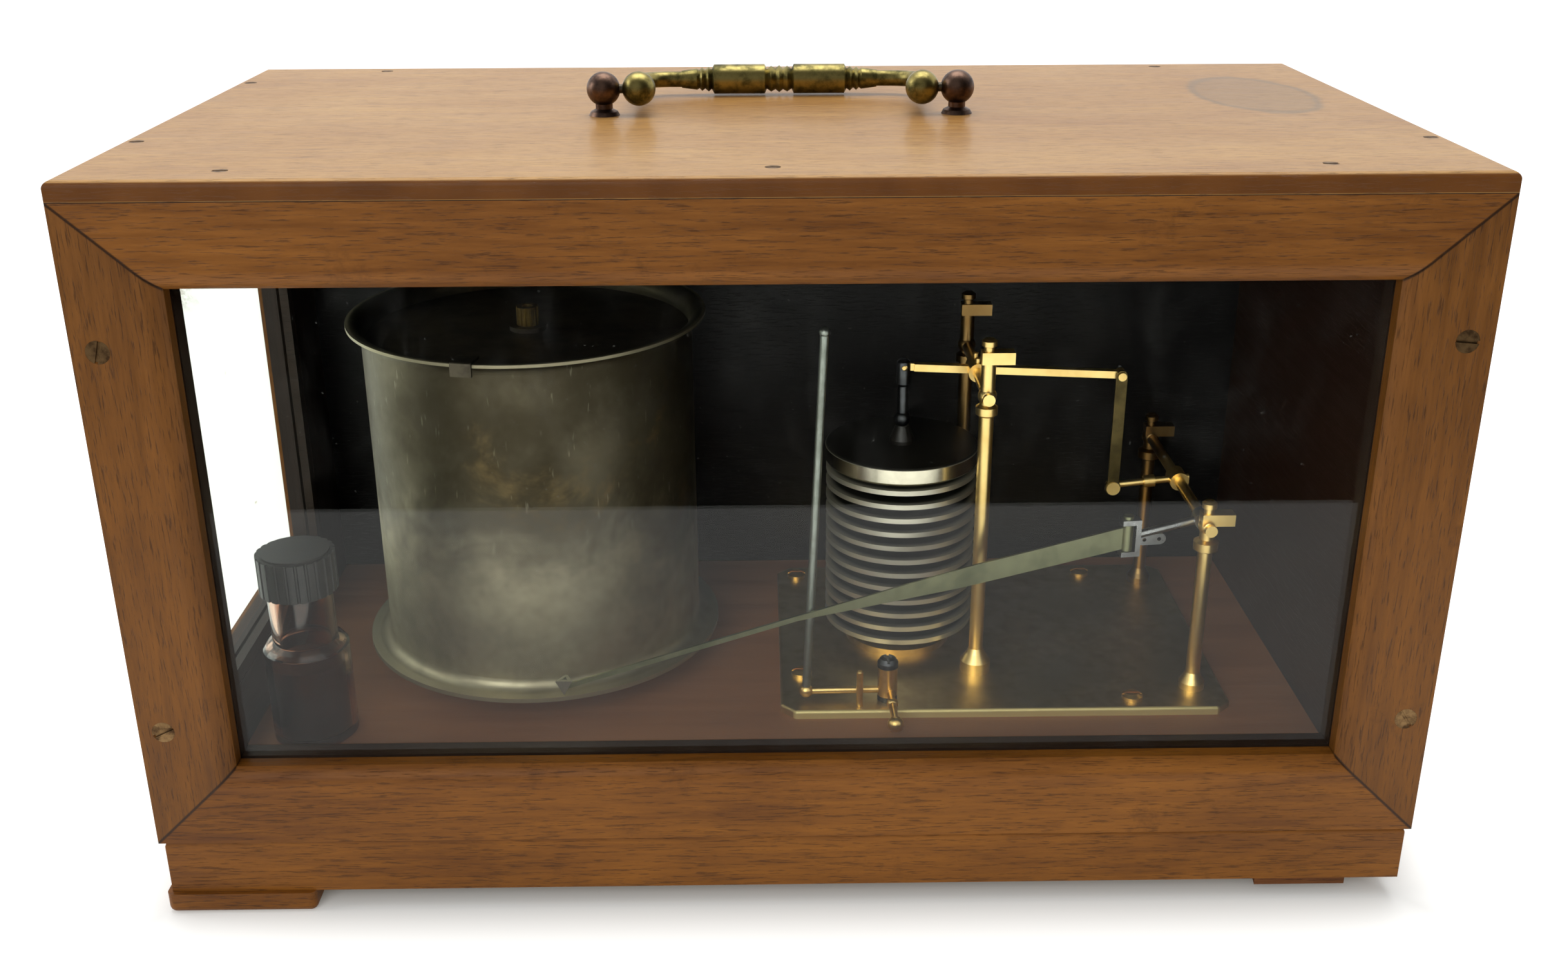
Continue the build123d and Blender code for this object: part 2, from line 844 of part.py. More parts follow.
# Posts: turned columns with a pivot ball, and a head with a side bar
def add_post(x, y, pivot_z, foot, collar, bar_z):
    foot_r, foot_rise = foot
    collar_r, collar_low, collar_high = collar
    outward = math.copysign(1, y - works_y)
    turned(
        x,
        y,
        [
            (post_shank_r, floor_z),
            (post_shank_r, bed_z),
            (foot_r, bed_z),
            (foot_r, bed_z + foot_rise * 0.6),
            (post_r + 0.7, bed_z + foot_rise),
            (post_r, bed_z + foot_rise + 1.5),
            (post_r, collar_low),
            (collar_r, collar_low + 0.7),
            (collar_r, collar_high - 0.7),
            (post_r, collar_high),
            (post_r, bar_z + 0.1),
        ],
    )
    ball(x, y, pivot_z, pivot_ball_r)
    with Locations(Pos(x - post_r, y, bar_z)):
        Box(
            post_r + post_bar_reach,
            post_bar_w,
            post_bar_h,
            align=(Align.MIN, Align.CENTER, Align.MIN),
        )
    # Bores for the pivot screw and the cap screw
    start = (x, y + outward * 2 * pivot_ball_r, pivot_z)
    rod(start, (x, y - outward * 2 * pivot_ball_r, pivot_z), pivot_screw_r + fit_gap, Mode.SUBTRACT)
    with Locations(Pos(x, y, bar_z + post_bar_h)):
        Hole(pivot_screw_r + fit_gap, depth=cap_screw_shank)


def make_lever_posts():
    collar = (post_collar_r, lever_pivot_z - 5.6, lever_pivot_z - 2.2)
    foot = (lever_foot_r, lever_foot_h)
    bar_z = lever_pivot_z + lever_bar_rise
    with BuildPart() as lever_posts:
        for side in (-1, 1):
            add_post(lever_x, works_y + side * lever_post_gap / 2, lever_pivot_z, foot, collar, bar_z)
    return lever_posts.part


def make_pen_posts():
    collar = (pen_collar_r, pen_pivot_z - 7.2, pen_pivot_z - 3.6)
    foot = (pen_foot_r, pen_foot_h)
    bar_z = pen_pivot_z + pen_bar_rise
    with BuildPart() as pen_posts:
        for side in (-1, 1):
            add_post(pen_x, works_y + side * pen_post_gap / 2, pen_pivot_z, foot, collar, bar_z)
    return pen_posts.part


def make_cap_screws():
    with BuildPart() as cap_screws:
        for x, y in post_places():
            rise = lever_pivot_z + lever_bar_rise if x == lever_x else pen_pivot_z + pen_bar_rise
            seat = rise + post_bar_h
            turned(
                x,
                y,
                [
                    (pivot_screw_r, seat - cap_screw_shank + 0.1),
                    (pivot_screw_r, seat),
                    (cap_screw_r * 0.7, seat),
                    (cap_screw_r * 0.7, seat + 1.2),
                    (cap_screw_r, seat + 1.5),
                    (cap_screw_r, seat + 2.8),
                    (cap_screw_r * 0.6, seat + 3.4),
                ],
            )
    return cap_screws.part


def make_pivot_screws():
    # Threaded through the posts, their noses carry the arbors
    with BuildPart() as pivot_screws:
        for x, y in post_places():
            z = lever_pivot_z if x == lever_x else pen_pivot_z
            outward = math.copysign(1, y - works_y)
            outside = y + outward * (pivot_ball_r + 0.3)
            inside = y - outward * pivot_ball_r
            rod((x, outside, z), (x, inside, z), pivot_screw_r)
            rod((x, outside, z), (x, outside + outward * 1.3, z), pivot_screw_r + 0.7)
            rod((x, inside, z), (x, inside - outward * (arbor_end_gap + pivot_nose_len), z), pivot_nose_r)
    return pivot_screws.part


def make_arbor(x, z, gap, hub_half):
    # Round bar bored at both ends for the pivot noses, with a hub in the middle
    reach = gap / 2 - pivot_ball_r - arbor_end_gap
    with BuildPart() as arbor:
        rod((x, works_y - reach, z), (x, works_y + reach, z), arbor_r)
        rod((x, works_y - hub_half, z), (x, works_y + hub_half, z), hub_r)
        for side in (-1, 1):
            end = works_y + side * reach
            bottom, mouth = (x, end - side * (pivot_nose_len + 0.3), z), (x, end + side, z)
            rod(bottom, mouth, pivot_nose_r + run_gap, Mode.SUBTRACT)
    return arbor.part


# Aneroid stack: foot, thin capsules one on another, cap and ball-ended stem
def make_stack_foot():
    with BuildPart() as stack_foot:
        turned(
            stack_x,
            works_y,
            [
                (post_shank_r, floor_z),
                (post_shank_r, bed_z),
                (stack_foot_r, bed_z),
                (stack_foot_r, bed_z + stack_foot_t - 0.6),
                (stack_foot_r - 1.2, bed_z + stack_foot_t),
                (capsule_boss_r + 1.5, bed_z + stack_foot_t),
                (capsule_boss_r, stack_base_z),
            ],
        )
    return stack_foot.part


def make_capsules():
    rim_h, dish = capsule_pitch * 0.34, capsule_pitch * 0.22
    with BuildPart() as capsules:
        for k in range(capsule_count):
            low = stack_base_z + k * capsule_pitch
            high = low + capsule_pitch
            middle = (low + high) / 2
            turned(
                stack_x,
                works_y,
                [
                    (capsule_boss_r, low),
                    (capsule_boss_r, low + dish),
                    (capsule_r, middle - rim_h / 2),
                    (capsule_r, middle + rim_h / 2),
                    (capsule_boss_r, high - dish),
                    (capsule_boss_r, high),
                ],
            )
    return capsules.part


def make_stack_cap():
    with BuildPart() as stack_cap:
        turned(
            stack_x,
            works_y,
            [
                (cap_disc_r - 0.8, stack_top_z),
                (cap_disc_r, stack_top_z + 0.8),
                (cap_disc_r, cap_top_z - 0.5),
                (cap_disc_r - 0.5, cap_top_z),
                (stem_foot_r, cap_top_z),
                (stem_foot_r, cap_top_z + 1.0),
                (stem_ball_r * 0.8, cap_top_z + stem_ball_rise - stem_ball_r * 0.8),
            ],
        )
        # Cup that the stem's ball sits in
        with Locations(Pos(stack_x, works_y, cap_top_z + stem_ball_rise)):
            Sphere(stem_ball_r + fit_gap, mode=Mode.SUBTRACT)
    return stack_cap.part


lever_plane = Plane(
    (lever_x, works_y, lever_pivot_z),
    x_dir=(math.cos(math.radians(lever_tilt)), 0, -math.sin(math.radians(lever_tilt))),
    z_dir=(0, -1, 0),
)
lever_left_end = lever_plane.from_local_coords((-lever_left, 0, 0))
lever_right_end = lever_plane.from_local_coords((lever_right, 0, 0))


def make_stem():
    # Ball below, slotted fork above that takes the lever's tongue and its pin
    pin_z = lever_left_end.Z
    with BuildPart() as stem:
        turned(
            stack_x,
            works_y,
            [
                (stem_r, cap_top_z + stem_ball_rise),
                (stem_r, pin_z - 5.6),
                (stem_fork_r, pin_z - 4.8),
                (stem_fork_r, pin_z + 1.4),
                (stem_fork_r - 0.6, pin_z + 2.0),
            ],
        )
        ball(stack_x, works_y, cap_top_z + stem_ball_rise, stem_ball_r)
        with Locations(Pos(stack_x, works_y, pin_z - 3.0)):
            Box(
                3 * stem_fork_r,
                tongue_t + 2 * fork_gap,
                8,
                align=(Align.CENTER, Align.CENTER, Align.MIN),
                mode=Mode.SUBTRACT,
            )
        # Hole drawn out sideways, because the lever's end swings in an arc
        with BuildSketch(Plane.XZ.offset(-works_y)):
            with Locations((stack_x + pin_travel / 2, pin_z)):
                SlotCenterToCenter(pin_travel, 2 * (joint_pin_r + fork_gap))
        extrude(amount=stem_fork_r + 1, both=True, mode=Mode.SUBTRACT)
    return stem.part


# Lever: arbor with a hub, and the bar that the hub clamps
def make_lever_arbor():
    bar = make_arbor(lever_x, lever_pivot_z, lever_post_gap, lever_hub_half)
    with BuildPart() as lever_arbor:
        add(bar)
        with Locations(lever_plane):
            Box(3 * hub_r, lever_h + 2 * fit_gap, lever_w + 2 * fit_gap, mode=Mode.SUBTRACT)
        # Clamp screws on the hub
        for side in (-1, 1):
            y = works_y + side * lever_hub_half * 0.6
            rod((lever_x, y, lever_pivot_z), (lever_x, y, lever_pivot_z + hub_r + 1.2), 0.8)
    return lever_arbor.part


def make_lever():
    neck = -lever_left + stem_fork_r + 0.9
    with BuildPart() as lever:
        with BuildSketch(lever_plane):
            with Locations((neck, 0)):
                Rectangle(lever_right - neck, lever_h, align=(Align.MIN, Align.CENTER))
            with Locations((lever_right, 0)):
                Circle(lever_h * 0.75)
        extrude(amount=lever_w / 2, both=True)
        with BuildSketch(lever_plane):
            with Locations((-lever_left, 0)):
                Rectangle(neck + lever_left, lever_h, align=(Align.MIN, Align.CENTER))
                Circle(lever_h / 2)
        extrude(amount=tongue_t / 2, both=True)
        left, right = lever_left_end, lever_right_end
        pin_reach = stem_fork_r - 0.1
        rod((left.X, works_y - pin_reach, left.Z), (left.X, works_y + pin_reach, left.Z), joint_pin_r)
        joint_pin(right.X, right.Z, joint_pin_r + 0.6)
    return lever.part


link_back = works_y - lever_w / 2 - link_side_gap
link_front = link_back - link_t


def joint_pin(x, z, head_r):
    # Pin that stands forward through the link, with a head that keeps the link on it
    head = link_front - link_side_gap
    rod((x, works_y, z), (x, head, z), joint_pin_r)
    rod((x, head, z), (x, head - 0.6, z), head_r)


# Link: flat strip from the lever down to the crank, its lower eye loose on the pin
crank_pin_x = pen_x - crank_reach
crank_pin_z = pen_pivot_z - crank_sink


def make_link():
    rise = lever_right_end.Z - crank_pin_z
    lean = lever_right_end.X - crank_pin_x
    middle = (crank_pin_x + lean / 2, crank_pin_z + rise / 2)
    top, low = (lever_right_end.X, lever_right_end.Z), (crank_pin_x, crank_pin_z)
    with BuildPart() as link:
        with BuildSketch(Plane.XZ.offset(-link_back)):
            with Locations(middle):
                strip = math.hypot(rise, lean)
                SlotCenterToCenter(strip, link_w, rotation=math.degrees(math.atan2(rise, lean)))
            with Locations(low):
                Circle(link_eye_r)
                Circle(joint_pin_r + open_pivot_gap, mode=Mode.SUBTRACT)
            with Locations(top):
                Circle(joint_pin_r + run_gap, mode=Mode.SUBTRACT)
        extrude(amount=link_t)
    return link.part


# Pen arbor with the crank clamped in its hub
def make_pen_arbor():
    bar = make_arbor(pen_x, pen_pivot_z, pen_post_gap, crank_hub_half)
    with BuildPart() as pen_arbor:
        add(bar)
        rod(crank_point(-hub_r - 1), crank_point(hub_r + 1), crank_r + fit_gap, Mode.SUBTRACT)
    return pen_arbor.part


def crank_point(reach):
    # Point on the crank, measured from the middle of the arbor towards the crank pin
    length = math.hypot(crank_reach, crank_sink)
    return (
        pen_x - reach * crank_reach / length,
        works_y,
        pen_pivot_z - reach * crank_sink / length,
    )


def make_crank():
    length = math.hypot(crank_reach, crank_sink)
    with BuildPart() as crank:
        rod(crank_point(-hub_r - 0.6), crank_point(length), crank_r)
        rod(crank_point(6.5), crank_point(9.5), crank_collar_r)
        block = (crank_pin_x, works_y - crank_r, crank_pin_z)
        rod(block, (crank_pin_x, works_y + crank_r, crank_pin_z), crank_r + 0.45)
        joint_pin(crank_pin_x, crank_pin_z, link_eye_r - 0.3)
    return crank.part


# Pen arm: hub with a bracket, the blade that swings in the bracket, and the pen
arm_direction = Vector(nib_x - pen_x, nib_y - hub_y, 0).normalized()
arm_plane = Plane(
    (pen_x, hub_y, pen_pivot_z), x_dir=arm_direction, z_dir=arm_direction.cross(Vector(0, 0, 1))
)
nib_reach = math.hypot(nib_x - pen_x, nib_y - hub_y)
gate_mid = -arm_slope * gate_reach
gate_point = arm_plane.from_local_coords((gate_reach, gate_mid, 0))


def on_arm(reach):
    return arm_plane.from_local_coords((reach, -arm_slope * reach, 0))


def make_pen_hub():
    back_face = gate_reach - gate_barrel_r - gate_side_gap
    with BuildPart() as pen_hub:
        rod((pen_x, hub_y - hub_len / 2, pen_pivot_z), (pen_x, hub_y + hub_len / 2, pen_pivot_z), hub_r)
        rod(on_arm(hub_r * 0.6), on_arm(back_face - 0.5), hub_rod_r)
        # Bracket with two ears for the upright gate pin
        with BuildSketch(arm_plane):
            with Locations((back_face - ear_t, gate_mid)):
                Rectangle(ear_t + gate_ear_len, gate_h, align=(Align.MIN, Align.CENTER))
            with Locations((back_face, gate_mid)):
                Rectangle(
                    gate_ear_len + 1, gate_h - 2 * ear_t, align=(Align.MIN, Align.CENTER), mode=Mode.SUBTRACT
                )
        extrude(amount=gate_ear_w / 2, both=True)
        with Locations(Pos(gate_point.X, gate_point.Y, gate_point.Z + gate_h / 2)):
            Hole(gate_pin_r + run_gap, depth=gate_h)
        # Oval plate with two holes under the rod
        plate_s = back_face - ear_t - plate_len / 2 + 0.4
        with BuildSketch(arm_plane):
            with Locations((plate_s, -arm_slope * plate_s - hub_rod_r - plate_w / 2 + 0.3)):
                SlotOverall(plate_len, plate_w)
                with Locations((-plate_len * 0.26, 0), (plate_len * 0.26, 0)):
                    Circle(0.55, mode=Mode.SUBTRACT)
        extrude(amount=0.4, both=True)
        near, far = (pen_x, hub_y - hub_len, pen_pivot_z), (pen_x, hub_y + hub_len, pen_pivot_z)
        rod(near, far, arbor_r + fit_gap, Mode.SUBTRACT)
    return pen_hub.part


def make_pen_arm():
    barrel_h = gate_h - 2 * ear_t - 2 * gate_end_gap
    half = gate_h / 2
    low, high = gate_point.Z - half, gate_point.Z + half
    x, y = gate_point.X, gate_point.Y
    with BuildPart() as pen_arm:
        with Locations(gate_point):
            Cylinder(gate_barrel_r, barrel_h)
        rod((x, y, low), (x, y, high + gate_end_gap), gate_pin_r)
        rod((x, y, high + gate_end_gap), (x, y, high + gate_end_gap + 0.8), gate_pin_r + 0.75)
        with BuildSketch(arm_plane):
            with BuildLine():
                upper = [(gate_reach + 0.5, blade_h), (gate_reach + 3, blade_h), (blade_mid, blade_mid_h)]
                upper += [(blade_end, blade_tip_h), (bend_reach, wire_h)]
                top = [(s, -arm_slope * s + h / 2) for s, h in upper]
                low_edge = [(s, -arm_slope * s - h / 2) for s, h in reversed(upper)]
                tip = nib_z - pen_pivot_z
                end = [(nib_reach, tip + wire_h / 2), (nib_reach, tip - wire_h / 2)]
                Polyline(*top, *end, *low_edge, close=True)
            make_face()
        extrude(amount=blade_t / 2, both=True)
    return pen_arm.part


def make_pen_nib():
    # Open trough, narrow below, slipped on the arm's end, that runs out to the writing tip
    with BuildPart() as pen_nib:
        with BuildSketch(Plane.XZ.offset(-(nib_y - nib_back))):
            with Locations((nib_x, nib_z)):
                Polygon((-nib_w / 2, nib_h / 2), (0, -nib_h / 2), (nib_w / 2, nib_h / 2), align=None)
        with BuildSketch(Plane.XZ.offset(-nib_tip_y)):
            with Locations((nib_x, nib_z)):
                Polygon((-0.35, 0.6), (0, -0.1), (0.35, 0.6), align=None)
        loft()
        # Well for the ink, open at the top
        with BuildSketch(Plane.XZ.offset(-(nib_y + 0.7))):
            with Locations((nib_x, nib_z + nib_h / 2)):
                Polygon((-1.3, 0.5), (0, -2.2), (1.3, 0.5), align=None)
        with BuildSketch(Plane.XZ.offset(-(nib_tip_y - 2.0))):
            with Locations((nib_x, nib_z + nib_h / 2)):
                Polygon((-0.5, 0.5), (0, -1.5), (0.5, 0.5), align=None)
        loft(mode=Mode.SUBTRACT)
        # Slot for the end of the arm
        with BuildSketch(arm_plane):
            with Locations((nib_reach, nib_z - pen_pivot_z)):
                Rectangle(2 * nib_w, wire_h + 4 * fit_gap + slot_room, align=Align.CENTER)
            with Locations((nib_reach + 2 * fit_gap, nib_z - pen_pivot_z)):
                Rectangle(2 * nib_w, 2 * nib_h, align=(Align.MIN, Align.CENTER), mode=Mode.SUBTRACT)
        extrude(amount=blade_t / 2 + fit_gap, both=True, mode=Mode.SUBTRACT)
    return pen_nib.part


# Pen lifter: a hub on a screwed stud, its knob in front and its arm to the left, which
# carries the upright rod that pushes the pen arm off the drum
def make_lifter_stud():
    hub_top = lifter_hub_z + lifter_hub_h
    with BuildPart() as lifter_stud:
        turned(
            lifter_x,
            lifter_y,
            [
                (lifter_stud_r, floor_z),
                (lifter_stud_r, bed_z),
                (lifter_hub_r, bed_z),
                (lifter_hub_r, lifter_hub_z - run_gap),
                (lifter_stud_r, lifter_hub_z - run_gap),
                (lifter_stud_r, hub_top + run_gap),
                (lifter_head_r, hub_top + run_gap),
                (lifter_head_r, hub_top + 1.4),
                (lifter_head_r * 0.75, hub_top + 2.5),
                (lifter_head_r * 0.4, hub_top + 2.9),
            ],
        )
        with Locations(Pos(lifter_x, lifter_y, hub_top + 2.9)):
            Box(screw_slot_w, 2 * lifter_head_r, 2.0, mode=Mode.SUBTRACT)
    return lifter_stud.part


arm_inner_x = lifter_x - lifter_stud_r - 0.4


def make_lifter_hub():
    with BuildPart() as lifter_hub:
        with BuildSketch(Plane.XY.offset(lifter_hub_z)):
            with Locations((lifter_x, lifter_y)):
                Circle(lifter_hub_r)
        extrude(amount=lifter_hub_h)
        # Knob: two balls on a short stem towards the front
        near, far = lifter_y - knob_reach * 0.42, lifter_y - knob_reach
        rod((knob_x, lifter_y, lifter_arm_z), (knob_x, far, lifter_arm_z), knob_stem_r)
        ball(knob_x, near, lifter_arm_z, knob_near_r)
        ball(knob_x, far, lifter_arm_z, knob_far_r)
        with Locations(Pos(lifter_x, lifter_y, lifter_hub_z + lifter_hub_h)):
            Hole(lifter_stud_r + run_gap, depth=lifter_hub_h)
        arm_start = (lifter_rod_x, lifter_rod_y, lifter_arm_z)
        rod(arm_start, (arm_inner_x, lifter_y, lifter_arm_z), lifter_arm_r + fit_gap, Mode.SUBTRACT)
    return lifter_hub.part


def make_lifter_arm():
    corner = (lifter_rod_x, lifter_rod_y, lifter_arm_z)
    with BuildPart() as lifter_arm:
        rod(corner, (arm_inner_x - 0.2, lifter_y, lifter_arm_z), lifter_arm_r)
        ball(*corner, lifter_end_r)
        rod(*lifter_rod_ends(), lifter_rod_r + fit_gap, Mode.SUBTRACT)
    return lifter_arm.part


def lifter_rod_ends():
    # The rod is riveted through the ball at the arm's end and leans to the right
    lean = math.tan(math.radians(lifter_rod_lean))
    low = lifter_arm_z - lifter_end_r + 0.3
    top_x = lifter_rod_x + (lifter_rod_top - lifter_arm_z) * lean
    low_x = lifter_rod_x + (low - lifter_arm_z) * lean
    return (low_x, lifter_rod_y, low), (top_x, lifter_rod_y, lifter_rod_top)


def make_lifter_rod():
    with BuildPart() as lifter_rod:
        rod(*lifter_rod_ends(), lifter_rod_r)
        ball(*lifter_rod_ends()[1], lifter_rod_r * 1.25)
    return lifter_rod.part


def make_stop_pin():
    with BuildPart() as stop_pin:
        rod((stop_pin_x, stop_pin_y, floor_z), (stop_pin_x, stop_pin_y, bed_z + stop_pin_h), stop_pin_r)
        chamfer(stop_pin.faces().sort_by(Axis.Z)[-1].edges(), 0.3)
    return stop_pin.part


# Clock drive: fixed spindle and wheel, with the drum's pinion rolling round the wheel
def make_drum_spindle():
    with BuildPart() as drum_spindle:
        turned(
            drum_x,
            drum_y,
            [
                (spindle_foot_r, floor_z),
                (spindle_foot_r, floor_z + spindle_foot_h),
                (wheel_seat_r, floor_z + spindle_foot_h),
                (wheel_seat_r, wheel_z),
                (spindle_r, wheel_z),
                (spindle_r, lid_z + lid_hub_h + run_gap),
                (spindle_thread_r, lid_z + lid_hub_h + run_gap),
                (spindle_thread_r, drum_nut_top - 1.0),
            ],
        )
    return drum_spindle.part


def make_drum_nut():
    low = lid_z + lid_hub_h + 2 * run_gap
    with BuildPart() as drum_nut:
        with BuildSketch(Plane.XY.offset(low)):
            with Locations((drum_x, drum_y)):
                Circle(drum_nut_r)
                with PolarLocations(drum_nut_r, 16):
                    Circle(0.22, mode=Mode.SUBTRACT)
        extrude(amount=drum_nut_top - low)
        upper = drum_nut.faces().sort_by(Axis.Z)[-1]
        chamfer(upper.edges().filter_by(GeomType.CIRCLE).sort_by(Edge.radius)[-1], 0.2)
        with Locations(Pos(drum_x, drum_y, drum_nut_top - 0.9)):
            Hole(spindle_thread_r + fit_gap, depth=drum_nut_top - low)
    return drum_nut.part


def gear_outline(teeth, flank_trim):
    # One tooth after another: root, flank, narrowed tip and flank, as points round the wheel
    pitch_r = gear_module * teeth / 2
    points = []
    for tooth in range(teeth):
        middle = 2 * math.pi * tooth / teeth
        for radius, half in tooth_profile(pitch_r, flank_trim):
            points.append((radius, middle - half))
        for radius, half in reversed(tooth_profile(pitch_r, flank_trim)):
            points.append((radius, middle + half))
    return [(r * math.cos(a), r * math.sin(a)) for r, a in points]


def tooth_profile(pitch_r, flank_trim):
    # Radius and half angle of a tooth from its root to its tip
    half_pitch = (math.pi * gear_module / 2 - tooth_backlash) / 2
    root, tip = pitch_r - 1.15 * gear_module, pitch_r + 0.8 * gear_module
    return [
        (root, (half_pitch + 0.16 - flank_trim) / root),
        (pitch_r, half_pitch / pitch_r),
        (tip, (half_pitch - 0.30) / tip),
    ]


def make_sun_wheel():
    with BuildPart() as sun_wheel:
        with BuildSketch(Plane.XY.offset(wheel_z)):
            with Locations((drum_x, drum_y)):
                Polygon(*gear_outline(wheel_teeth, 0.0), align=None)
                Circle(spindle_r + fit_gap, mode=Mode.SUBTRACT)
                with PolarLocations(10.0, 5):
                    Circle(3.6, mode=Mode.SUBTRACT)
        extrude(amount=wheel_t)
    return sun_wheel.part


def make_drive_pinion():
    # Turned half a tooth against the wheel, so that a tooth stands in a gap
    middle = (drum_x + pinion_distance, drum_y)
    with BuildPart() as drive_pinion:
        with BuildSketch(Plane.XY.offset(wheel_z - 0.3)):
            with Locations(Location((middle[0], middle[1], 0), (0, 0, 180 / pinion_teeth + 180))):
                Polygon(*gear_outline(pinion_teeth, 0.12), align=None)
        extrude(amount=pinion_t)
        rod((*middle, wheel_z), (*middle, clock_upper_z + plate_t + 1.5), pinion_arbor_r)
    return drive_pinion.part


def drum_ring(outline):
    # A ring about the drum's axis from pairs of radius and height
    with BuildPart() as ring:
        with BuildSketch(Plane((drum_x, drum_y, 0), x_dir=(1, 0, 0), z_dir=(0, -1, 0))):
            add(outline)
            make_face()
        revolve(axis=Axis((drum_x, drum_y, 0), (0, 0, 1)))
    return ring.part


def make_drum_shell():
    # Rolled and soldered tube, between the foot ring and the rim
    inner = drum_r - drum_wall
    with BuildLine() as outline:
        Polyline(
            (inner, drum_tube_low),
            (drum_r, drum_tube_low),
            (drum_r, drum_tube_high),
            (inner, drum_tube_high),
            close=True,
        )
    return drum_ring(outline.line)


def make_drum_flange():
    # Foot ring on which the chart paper stands, spun with a hollow flare up to the tube
    low = drum_bottom + flange_t
    with BuildLine() as outline:
        Polyline(
            (drum_r - drum_wall, drum_tube_low),
            (drum_r - drum_wall, drum_bottom),
            (flange_r, drum_bottom),
            (flange_r, low),
            (drum_r + flange_flare, low),
        )
        RadiusArc((drum_r + flange_flare, low), (drum_r, drum_tube_low), flange_flare)
        Line((drum_r, drum_tube_low), (drum_r - drum_wall, drum_tube_low))
    return drum_ring(outline.line)


def make_drum_rim():
    # Flared rim with a flat lip, which stiffens the open end
    inner, flare_out, under = drum_r - drum_wall, drum_r + rim_flare, drum_top - drum_wall
    with BuildLine() as outline:
        Line((inner, drum_tube_high), (drum_r, drum_tube_high))
        RadiusArc((drum_r, drum_tube_high), (flare_out, under), rim_flare)
        Polyline((flare_out, under), (rim_r, under), (rim_r, drum_top), (flare_out, drum_top))
        RadiusArc((flare_out, drum_top), (inner, drum_tube_high), -rim_flare - drum_wall)
    return drum_ring(outline.line)


def make_drum_lid():
    with BuildPart() as drum_lid:
        with BuildSketch(Plane.XY.offset(lid_z - plate_t)):
            with Locations((drum_x, drum_y)):
                Circle(drum_r - drum_wall - fit_gap)
        extrude(amount=plate_t)
        with BuildSketch(Plane.XY.offset(lid_z)):
            with Locations((drum_x, drum_y)):
                Circle(lid_hub_r)
        extrude(amount=lid_hub_h)
        with Locations(Pos(drum_x, drum_y, lid_z + lid_hub_h)):
            Hole(spindle_r + run_gap, depth=plate_t + lid_hub_h)
    return drum_lid.part


def make_drum_floor():
    with BuildPart() as drum_floor:
        with BuildSketch(Plane.XY.offset(clock_lower_z)):
            with Locations((drum_x, drum_y)):
                Circle(drum_r - drum_wall - fit_gap)
                Circle(spindle_r + run_gap, mode=Mode.SUBTRACT)
            with Locations((drum_x + pinion_distance, drum_y)):
                Circle(pinion_arbor_r + run_gap, mode=Mode.SUBTRACT)
        extrude(amount=plate_t)
    return drum_floor.part


def make_clock_upper():
    with BuildPart() as clock_upper:
        with BuildSketch(Plane.XY.offset(clock_upper_z)):
            with Locations((drum_x, drum_y)):
                Circle(clock_upper_r)
                Circle(spindle_r + run_gap, mode=Mode.SUBTRACT)
            with Locations((drum_x + pinion_distance, drum_y)):
                Circle(pinion_arbor_r + run_gap, mode=Mode.SUBTRACT)
        extrude(amount=plate_t)
    return clock_upper.part


def make_clock_pillars():
    low = clock_lower_z + plate_t
    with BuildPart() as clock_pillars:
        with Locations(Pos(drum_x, drum_y, (low + clock_upper_z) / 2)):
            with PolarLocations(pillar_ring, 3):
                Cylinder(pillar_r, clock_upper_z - low)
    return clock_pillars.part


def make_mainspring_barrel():
    low, high = clock_lower_z + plate_t, clock_upper_z
    with BuildPart() as mainspring_barrel:
        turned(
            drum_x - barrel_offset,
            drum_y,
            [
                (pillar_r, low),
                (pillar_r, low + 1.5),
                (barrel_r, low + 1.5),
                (barrel_r, high - 3.0),
                (pillar_r, high - 3.0),
                (pillar_r, high),
            ],
        )
    return mainspring_barrel.part


def make_chart_clip():
    # Strap hooked over the rim that holds the chart's overlap, with a rivet below
    angle = math.radians(clip_angle)
    outward = (math.cos(angle), math.sin(angle), 0)
    inside = drum_r - drum_wall
    with BuildPart() as chart_clip:
        with BuildSketch(Plane((drum_x, drum_y, 0), x_dir=outward, z_dir=(outward[1], -outward[0], 0))):
            with BuildLine():
                gap = 2 * fit_gap
                Polyline(
                    (rim_r + gap, drum_top - 3.0),
                    (rim_r + gap, drum_top + gap),
                    (inside - clip_t, drum_top + gap),
                )
                offset(amount=clip_t, side=Side.RIGHT, closed=True)
            make_face()
        extrude(amount=clip_w / 2, both=True)
    return chart_clip.part


# Ink bottle and its screw cap
def make_ink_bottle():
    top = floor_z + neck_top_h
    shoulder = floor_z + bottle_body_h
    inner_neck = neck_r - bottle_wall
    inner_body = bottle_r - bottle_wall
    with BuildPart() as ink_bottle:
        with BuildSketch(Plane((bottle_x, bottle_y, 0), x_dir=(1, 0, 0), z_dir=(0, -1, 0))):
            with BuildLine():
                Polyline(
                    (0, floor_z),
                    (bottle_r - 0.8, floor_z),
                    (bottle_r, floor_z + 0.8),
                    (bottle_r, shoulder - 1.8),
                    (bottle_r - 1.0, shoulder - 0.5),
                    (neck_r, shoulder + 0.3),
                    (neck_r, top),
                    (inner_neck, top),
                    (inner_neck, shoulder),
                    (inner_body, shoulder - 2.4),
                    (inner_body, floor_z + bottle_floor),
                    (0, floor_z + bottle_floor),
                    close=True,
                )
            make_face()
        revolve(axis=Axis((bottle_x, bottle_y, 0), (0, 0, 1)))
    return ink_bottle.part


